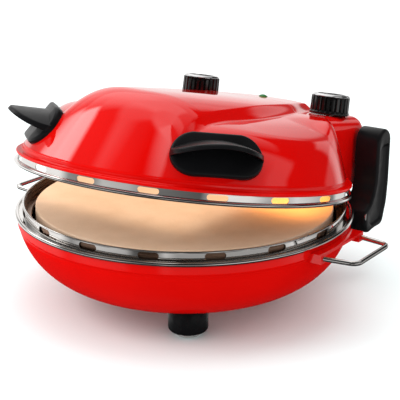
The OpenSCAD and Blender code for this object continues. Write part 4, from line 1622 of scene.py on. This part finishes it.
        brow_in, brow_out = brow + towards(brow, heel), brow + towards(brow, chin)
        chin_in, chin_out = chin + towards(chin, brow), chin + towards(chin, toe)
        section = np.concatenate([
            heel[:, None] + run[:, :-1] * (brow_in - heel)[:, None], soft(brow_in, brow, brow_out),
            soft(chin_in, chin, chin_out), chin_out[:, None] + run[:, 1:] * (toe - chin_out)[:, None],
        ], axis=1)
        x = self.root + section[..., 0] * math.cos(dip) + section[..., 1] * math.sin(dip)
        z = section[..., 1] * math.cos(dip) - section[..., 0] * math.sin(dip)
        points = np.stack([x, y[:, None] + 0 * x, z], axis=-1)
        return points.reshape(-1, 3), capped_faces(*points.shape[:2])

    def build(self, finishes: Finishes) -> None:
        """Builds the plate and the visor as one piece.

        Args:
            finishes: the cooker's finishes.
        """
        word = side_word(self.side)
        points, faces = join(self.plate(), self.visor())
        piece = make_mesh(f"{word}_fishtail", (self.lay(points), faces), Half.LID, 42)
        dress(piece, finishes.handle, "handle_black", "lid", f"{word}_lid_handle")


@dataclass(frozen=True)
class Knob:
    """A fluted knob with a bright bevelled rim round a sunk disc."""

    side: int
    x: float = 84.3
    y: float = 142.5
    base: float = 74.3
    radius: float = 21.6
    height: float = 22.0
    flutes: int = 24
    flute_depth: float = 1.9
    dish_r: float = 14.5

    def grip(self) -> tuple:
        """The moulded body: its side profile carried round the axis, with flutes pressed into it.

        The radius at bearing a is r - depth max(0, 1 - 1.5 |sin(flutes a / 2)|)^0.8, and press says how
        much of that depth each point of the profile takes.

        Returns:
            The points in mm and the faces.
        """
        steps, r, top, dish = self.flutes * 16, self.radius, self.height, self.dish_r
        a = np.linspace(0, 2 * np.pi, steps, endpoint=False)[:, None]
        profile = line(
            (r - 0.6, 0.0), (r, 0.7), (r, 2.6), (r - 0.5, 3.2), (r - 0.7, 3.9), (r - 0.75, 5.0),
            (r - 0.8, 8.0), (r - 0.85, 12.0), (r - 0.9, 16.0), (r - 0.95, 18.4), (r - 1.1, top - 2.8),
            (r - 1.5, top - 2.2), (dish + 0.6, top - 2.2), (dish, top - 1.2), (dish - 1.2, top - 1.1),
            (dish / 2, top - 1.4), (0.4, top - 1.5),
        )
        press = np.array([0, 0, 0, 0.1, 0.7, 1, 1, 1, 1, 1, 0.7, 0, 0, 0, 0, 0, 0])[None, :]
        wave = np.abs(np.sin(self.flutes * a / 2))
        hollow = np.clip(1 - wave * 1.5, 0, 1) ** 0.8
        radii = profile[:, 0][None, :] - self.flute_depth * hollow * press
        points = np.stack([radii * np.cos(a), radii * np.sin(a), np.tile(profile[:, 1], (steps, 1))], axis=-1)
        rows, cols = points.shape[:2]
        faces = grid_faces(rows, cols, close_rows=True).tolist()
        faces += [[k * cols for k in range(rows)], [k * cols + cols - 1 for k in range(rows)]]
        return points.reshape(-1, 3), faces

    def collar(self) -> tuple:
        """The bright trim ring: a chamfer down to the flutes, a flat top and an edge into the dish.

        Returns:
            The points in mm and the faces.
        """
        r, top, inner = self.radius, self.height, self.dish_r
        profile = line(
            (r - 1.7, top - 2.5), (r - 1.2, top - 2.3), (r - 1.2, top - 1.9), (r - 2.8, top - 0.3),
            (r - 3.5, top), (inner + 1.0, top), (inner + 0.3, top - 0.3), (inner + 0.2, top - 2.4),
            (r - 1.7, top - 2.5),
        )
        return lathe(profile, 160)

    def build(self, finishes: Finishes) -> None:
        """Builds the grip, the trim ring and the pointer on the knob's axis.

        Args:
            finishes: the cooker's finishes.
        """
        at = (self.side * self.x, self.y, self.base)
        word, node = ("thermostat", "thermostat_knob") if self.side > 0 else ("timer", "timer_knob")
        for name, part, finish, nodes in (
            ("grip", self.grip(), finishes.knob, (node,)),
            ("trim", self.collar(), finishes.trim, ()),
            ("mark", self.pointer(), finishes.screw, ()),
        ):
            piece = make_mesh(f"{word}_{name}", moved(part, at), Half.LID, 44)
            dress(piece, finish, "knob_black", f"{word}_dial", *nodes)

    def pointer(self) -> tuple:
        """A slim bar on the disc that points to the front.

        Returns:
            The points in mm and the faces.
        """
        x = np.array([-0.7, 0.7, 0.7, -0.7])
        y = np.array([-self.dish_r + 1.0, -self.dish_r + 1.0, -4.5, -4.5])
        low, high = self.height - 1.6, self.height - 0.9
        points = np.concatenate([np.column_stack([x, y, np.full(4, z)]) for z in (low, high)])
        return points, [[0, 1, 2, 3], [4, 5, 6, 7], [0, 1, 5, 4], [1, 2, 6, 5], [2, 3, 7, 6], [3, 0, 4, 7]]


@dataclass(frozen=True)
class PilotWindow:
    """The green window between the knobs: a shallow glass cap on a short stem."""

    y: float = 142.5
    base: float = 82.5
    radius: float = 5.2
    rise: float = 2.3
    stem: float = 4.0

    def build(self, finishes: Finishes) -> None:
        """Turns the stem and the cap's circle about their own axis.

        Args:
            finishes: the cooker's finishes.
        """
        r, h = self.radius, self.base
        cap_r = (r * r + self.rise**2) / (2 * self.rise)
        reach = math.degrees(math.asin((r - 0.5) / cap_r))
        cap = arc(0.0, h + self.rise - cap_r, cap_r, 90 - reach, 90, 14)
        stem = line((0.0, h - self.stem), (r, h - self.stem), (r, h - 0.1))
        shape = moved(lathe(np.concatenate([stem, cap]), 64), (0.0, self.y, 0.0))
        piece = make_mesh("pilot_window", shape, Half.LID, 50)
        dress(piece, finishes.lens, "lens_green", "lid", "pilot_lens")


# ---------- carried-over nodes, studio and camera ----------


def dress_nodes(finishes: Finishes) -> None:
    """Gives every CAD node that stays in view its finish.

    Args:
        finishes: the cooker's finishes.
    """
    plan = {
        finishes.red: ("left_handle_bracket", "right_handle_bracket"),
        finishes.arm: ("cord_inlet",),
        finishes.sheath: ("lower_heating_element", "upper_heating_element"),
        finishes.sheet: ("lid_liner", "stone_posts"),
        finishes.screw: (
            "foot_screws", "arm_screws", "hinge_pins", "hinge_knuckles", "lid_handle_screws",
            "lower_element_clips", "upper_element_clips", "timer_body", "thermostat_body", "timer_shaft",
            "thermostat_shaft",
        ),
        finishes.ceramic: ("lower_terminal_block", "upper_terminal_block"),
        finishes.lamp: ("pilot_lamp",),
    }
    for material, nodes in plan.items():
        for node in nodes:
            paint(frame["nodes"][node], material)


class Sky(NodePlan):
    """The room round the cooker: white to look at, and soft panels with darker gaps where it is mirrored.

    The mirrored room is nine bands by height, each a run of (bearing in degrees, grey). The bearing of
    a direction is atan2(y, x), brought to 0 at -180 degrees and 1 at +180 degrees. Each entry of climb
    says between which heights a band takes over from the one below it, as the sine of the angle over
    the floor.
    """

    ground: tuple = ((-180, 0.06), (-60, 0.02), (60, 0.02), (180, 0.06))
    low: tuple = (
        (-180, 1), (-150, 1), (-140, 0.3), (-125, 0.7), (-96, 0.5), (-90, 0.1), (-74, 0.1), (-68, 0.7),
        (-60, 0.4), (10, 0.4), (25, 0.8), (40, 0.6), (66, 0.2), (72, 0.8), (88, 0.8), (93, 0.1), (110, 0.1),
        (117, 1), (180, 1),
    )
    level: tuple = (
        (-180, 1), (-146, 1), (-138, 0.3), (-118, 0.2), (-110, 0.6), (-92, 0.5), (-80, 0.2), (-45, 0.1),
        (-32, 0.9), (2, 0.9), (14, 0.3), (34, 0.3), (52, 0.5), (68, 0.3), (76, 0.3), (83, 1), (88, 1),
        (93, 0.1), (101, 0.1), (105, 1), (180, 1),
    )
    shelf: tuple = (
        (-180, 0.4), (-150, 0.02), (78, 0.02), (82, 0.5), (92, 0.7), (95, 0.1), (101, 0.1), (113, 0.7),
        (127, 1.1), (140, 1.1), (160, 0.2), (180, 0.4),
    )
    middle: tuple = (
        (-180, 3), (-170, 0.1), (-60, 0.01), (97, 0.02), (102, 0.5), (120, 1), (150, 0.9), (165, 0.3),
        (171, 2.5), (180, 3),
    )
    high: tuple = (
        (-180, 3.2), (-166, 3.2), (-162, 0.2), (-60, 0.01), (10, 0.1), (26, 0.4), (50, 0.4), (57, 0.01),
        (94, 0.02), (102, 0.7), (127, 1.3), (150, 1.3), (170, 0.5), (174, 3.2), (180, 3.2),
    )
    brow: tuple = (
        (-180, 0.1), (-60, 0.01), (10, 0.1), (50, 0.4), (57, 0.01), (94, 0.6), (135, 1.4), (150, 1.3),
        (166, 0.9), (180, 0.1),
    )
    upper: tuple = (
        (-180, 0.6), (-158, 0.5), (-146, 0.1), (-122, 0.01), (-20, 0.02), (55, 0.2), (84, 0.4), (92, 1),
        (160, 1.2), (180, 0.6),
    )
    zenith: tuple = (
        (-180, 0.8), (-128, 0.9), (-114, 1.4), (-84, 1.4), (-74, 0.1), (-25, 0.1), (90, 0.9), (180, 0.8),
    )
    climb: tuple = (
        ((-0.41, -0.33), low), ((-0.17, -0.11), level), ((0.1, 0.17), shelf), ((0.32, 0.38), middle),
        ((0.5, 0.55), high), ((0.64, 0.69), brow), ((0.79, 0.85), upper), ((0.955, 0.98), zenith),
    )

    def __init__(self) -> None:
        """Starts the world with an empty node tree."""
        self.world = bpy.data.worlds.new("sky")
        super().__init__(self.world)

    def band(self, bearing: bpy.types.NodeSocket, greys: tuple) -> bpy.types.NodeSocket:
        """One band of the room: a barely warm grey for each bearing."""
        return self.ramp(bearing, *(((turn + 180) / 360, (g, 0.99 * g, 0.98 * g)) for turn, g in greys))

    def blend(self, factor: bpy.types.NodeSocket, a: object, b: object) -> bpy.types.NodeSocket:
        """A colour part of the way from a to b, each a socket or a plain grey.

        Args:
            factor: how far from a to b, from 0 to 1.
            a: the colour at 0.
            b: the colour at 1.

        Returns:
            The colour's socket.
        """
        node = self.add("ShaderNodeMix", data_type="RGBA")
        self.link(factor, node.inputs["Factor"])
        for name, value in (("A", a), ("B", b)):
            if isinstance(value, float):
                node.inputs[name].default_value = (value, value, value, 1.0)
            else:
                self.link(value, node.inputs[name])
        return node.outputs["Result"]

    def share(self, value: bpy.types.NodeSocket, start: float, end: float, kind: str) -> bpy.types.NodeSocket:
        """How far a value is from start to end, from 0 to 1.

        Args:
            value: the value.
            start: where the share is 0.
            end: where it is 1.
            kind: LINEAR for an even rise, or SMOOTHSTEP for one with soft ends.

        Returns:
            The share's socket.
        """
        node = self.add("ShaderNodeMapRange", interpolation_type=kind)
        node.inputs["From Min"].default_value, node.inputs["From Max"].default_value = start, end
        self.link(value, node.inputs["Value"])
        return node.outputs["Result"]

    def build(self, daylight: float) -> bpy.types.World:
        """Lays down the room.

        Args:
            daylight: how bright the room's even light is.

        Returns:
            The world.
        """
        apart = self.add("ShaderNodeSeparateXYZ")
        self.link(self.add("ShaderNodeTexCoord").outputs["Generated"], apart.inputs["Vector"])
        turn = self.add("ShaderNodeMath", operation="ARCTAN2")
        self.link(apart.outputs["Y"], turn.inputs[0])
        self.link(apart.outputs["X"], turn.inputs[1])
        bearing = self.share(turn.outputs[0], -math.pi, math.pi, "LINEAR")
        room = self.band(bearing, self.ground)
        for (start, end), greys in self.climb:
            rise = self.share(apart.outputs["Z"], start, end, "SMOOTHSTEP")
            room = self.blend(rise, room, self.band(bearing, greys))
        ray = self.add("ShaderNodeLightPath")
        seen = self.blend(ray.outputs["Is Glossy Ray"], daylight, room)
        seen = self.blend(ray.outputs["Is Camera Ray"], seen, 1.0)
        back = self.add("ShaderNodeBackground")
        self.link(seen, back.inputs["Color"])
        self.link(back.outputs["Background"], self.add("ShaderNodeOutputWorld").inputs["Surface"])
        return self.world


@dataclass(frozen=True)
class SoftLight:
    """A soft rectangle of light, which polished parts don't mirror.

    Args:
        name: the light's name.
        place: where its middle is, in metres.
        size: its width and height in metres.
        power: its power in watts.
        aim: the point that it faces, in metres.
    """

    name: str
    place: tuple
    size: tuple
    power: float
    aim: tuple = (0.0, 0.0, 0.1)

    def build(self) -> bpy.types.Object:
        """Hangs the light so that it faces the cooker.

        Returns:
            The light's object.
        """
        data = bpy.data.lights.new(self.name, "AREA")
        data.shape = "RECTANGLE"
        data.size, data.size_y = self.size
        data.energy = self.power
        lamp = bpy.data.objects.new(self.name, data)
        lamp.location = self.place
        lamp.rotation_euler = (Vector(self.aim) - Vector(self.place)).to_track_quat("-Z", "Y").to_euler()
        lamp.visible_glossy = False
        bpy.context.scene.collection.objects.link(lamp)
        return lamp


@dataclass(frozen=True)
class Glow(SoftLight):
    """A warm light inside the oven that shines straight down on the stone, as the hot element does.

    Args:
        colour: the light's colour.
    """

    colour: tuple = (1.0, 0.86, 0.70)

    def build(self) -> bpy.types.Object:
        """Hangs the light level, in its colour and out of sight.

        Returns:
            The light's object.
        """
        lamp = super().build()
        lamp.data.color = self.colour
        lamp.rotation_euler = (0.0, 0.0, 0.0)
        lamp.visible_camera = False
        return lamp


@dataclass(frozen=True)
class Studio:
    """The pale floor, the soft lights and the camera."""

    azimuth: float = 34.0
    elevation: float = 17.64
    distance: float = 1.2482
    target: tuple = (0.0132, 0.0089, 0.0092)
    lens: float = 108.0
    sensor: float = 36.0
    clip: tuple = (0.05, 50.0)
    roll: float = 0.58
    floor_half: float = 12.0
    floor_far: tuple = (0.95, 0.95, 0.95)
    # painted shade colour: cooler near the cooker, to cancel the red light that the bowl throws into the
    # floor's shadow
    floor_painted_shade_tint: tuple = (0.865, 0.95, 0.95)
    floor_scale: tuple = (0.8, 0.8, 0.8)
    daylight: float = 1.14
    lights: tuple = (
        SoftLight("key", (-1.1, -1.2, 1.3), (1.0, 1.0), 12.0),
        SoftLight("fill", (-0.6, -0.7, 0.12), (0.5, 0.2), 2.0),
        SoftLight("top", (0.0, 0.2, 1.7), (1.2, 1.2), 8.0),
        Glow("oven_left", (-0.05, -0.02, 0.125), (0.22, 0.16), 0.12),
        Glow("oven_right", (0.09, 0.06, 0.125), (0.09, 0.10), 0.10, colour=(1.0, 0.45, 0.12)),
    )

    def camera(self) -> None:
        """Stands the camera off the target along its bearing and height, with a slight roll."""
        data = bpy.data.cameras.new("view")
        data.lens = self.lens
        data.sensor_width = self.sensor
        data.clip_start, data.clip_end = self.clip
        cam = bpy.data.objects.new("view", data)
        bpy.context.scene.collection.objects.link(cam)
        a, e = math.radians(self.azimuth), math.radians(self.elevation)
        back = Vector((math.sin(a) * math.cos(e), -math.cos(a) * math.cos(e), math.sin(e)))
        target = Vector(self.target) + Vector((0, PLACES.centre_y * MM, PLACES.rim_z * MM))
        aim = (-back).to_track_quat("-Z", "Y").to_matrix().to_4x4()
        turn = aim @ Matrix.Rotation(math.radians(self.roll), 4, "Z")
        cam.matrix_world = Matrix.Translation(target + back * self.distance) @ turn
        bpy.context.scene.camera = cam

    def floor(self) -> None:
        """A pale floor which polished parts don't mirror, painted cooler near the cooker to cancel the red
        light that the bowl throws into its shadow.
        """
        mesh = bpy.data.meshes.new("floor")
        s = self.floor_half
        mesh.from_pydata([(-s, -s, 0), (s, -s, 0), (s, s, 0), (-s, s, 0)], [], [(0, 1, 2, 3)])
        floor = bpy.data.objects.new("floor", mesh)
        bpy.context.scene.collection.objects.link(floor)
        w = Weave("studio_floor")
        near = w.add("ShaderNodeTexGradient", gradient_type="SPHERICAL")
        w.link(w.stretch(self.floor_scale), near.inputs["Vector"])
        # painted shade colour near the cooker: the cool tint cancels the bowl's red light in the floor's
        # shadow
        w.colour(near.outputs["Fac"], (0.05, self.floor_far), (0.5, self.floor_painted_shade_tint))
        w.set(Roughness=1.0, Specular_IOR_Level=0.0)
        floor.data.materials.append(w.material)
        floor.visible_glossy = False

    def build(self) -> None:
        """Sets the camera, the floor, the lights and the sky."""
        self.camera()
        self.floor()
        for light in self.lights:
            light.build()
        bpy.context.scene.world = Sky().build(self.daylight)
        bpy.context.scene.view_settings.view_transform = "Standard"


def main() -> None:
    """Builds the studio, the base and the lid in order."""
    logging.basicConfig(level=logging.INFO)
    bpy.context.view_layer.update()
    Studio().build()
    finishes = Finishes()
    dress_nodes(finishes)
    Bowl().build(finishes)
    Stone().build(finishes)
    base_ring = SlottedRing(
        name="base_bright_ring", node="base_ring", half=Half.BASE, wall_r=167.4, low=0.4, high=11.7,
        bead=(172.75, 2.25, 2.25), slot_mid=7.9, slot_h=6.6, gap=106.0, roll_r=1.1,
    )
    base_ring.build(finishes)
    Feet().build(finishes)
    for side in (1, -1):
        SideHandle(side).build(finishes)
        HingeArm(side).build(finishes)
        LidHandle(side).build(finishes)
        Knob(side).build(finishes)
    Dome().build(finishes)
    LidRim().build(finishes)
    lid_ring = SlottedRing(
        name="lid_bright_ring", node="lid_ring", half=Half.LID, wall_r=170.2, low=0.0, high=10.4,
        bead=(172.0, 2.0, 2.0), slot_mid=6.9, slot_h=5.4,
    )
    lid_ring.build(finishes)
    ControlCover().build(finishes)
    PilotWindow().build(finishes)


if __name__ == "__main__":
    main()
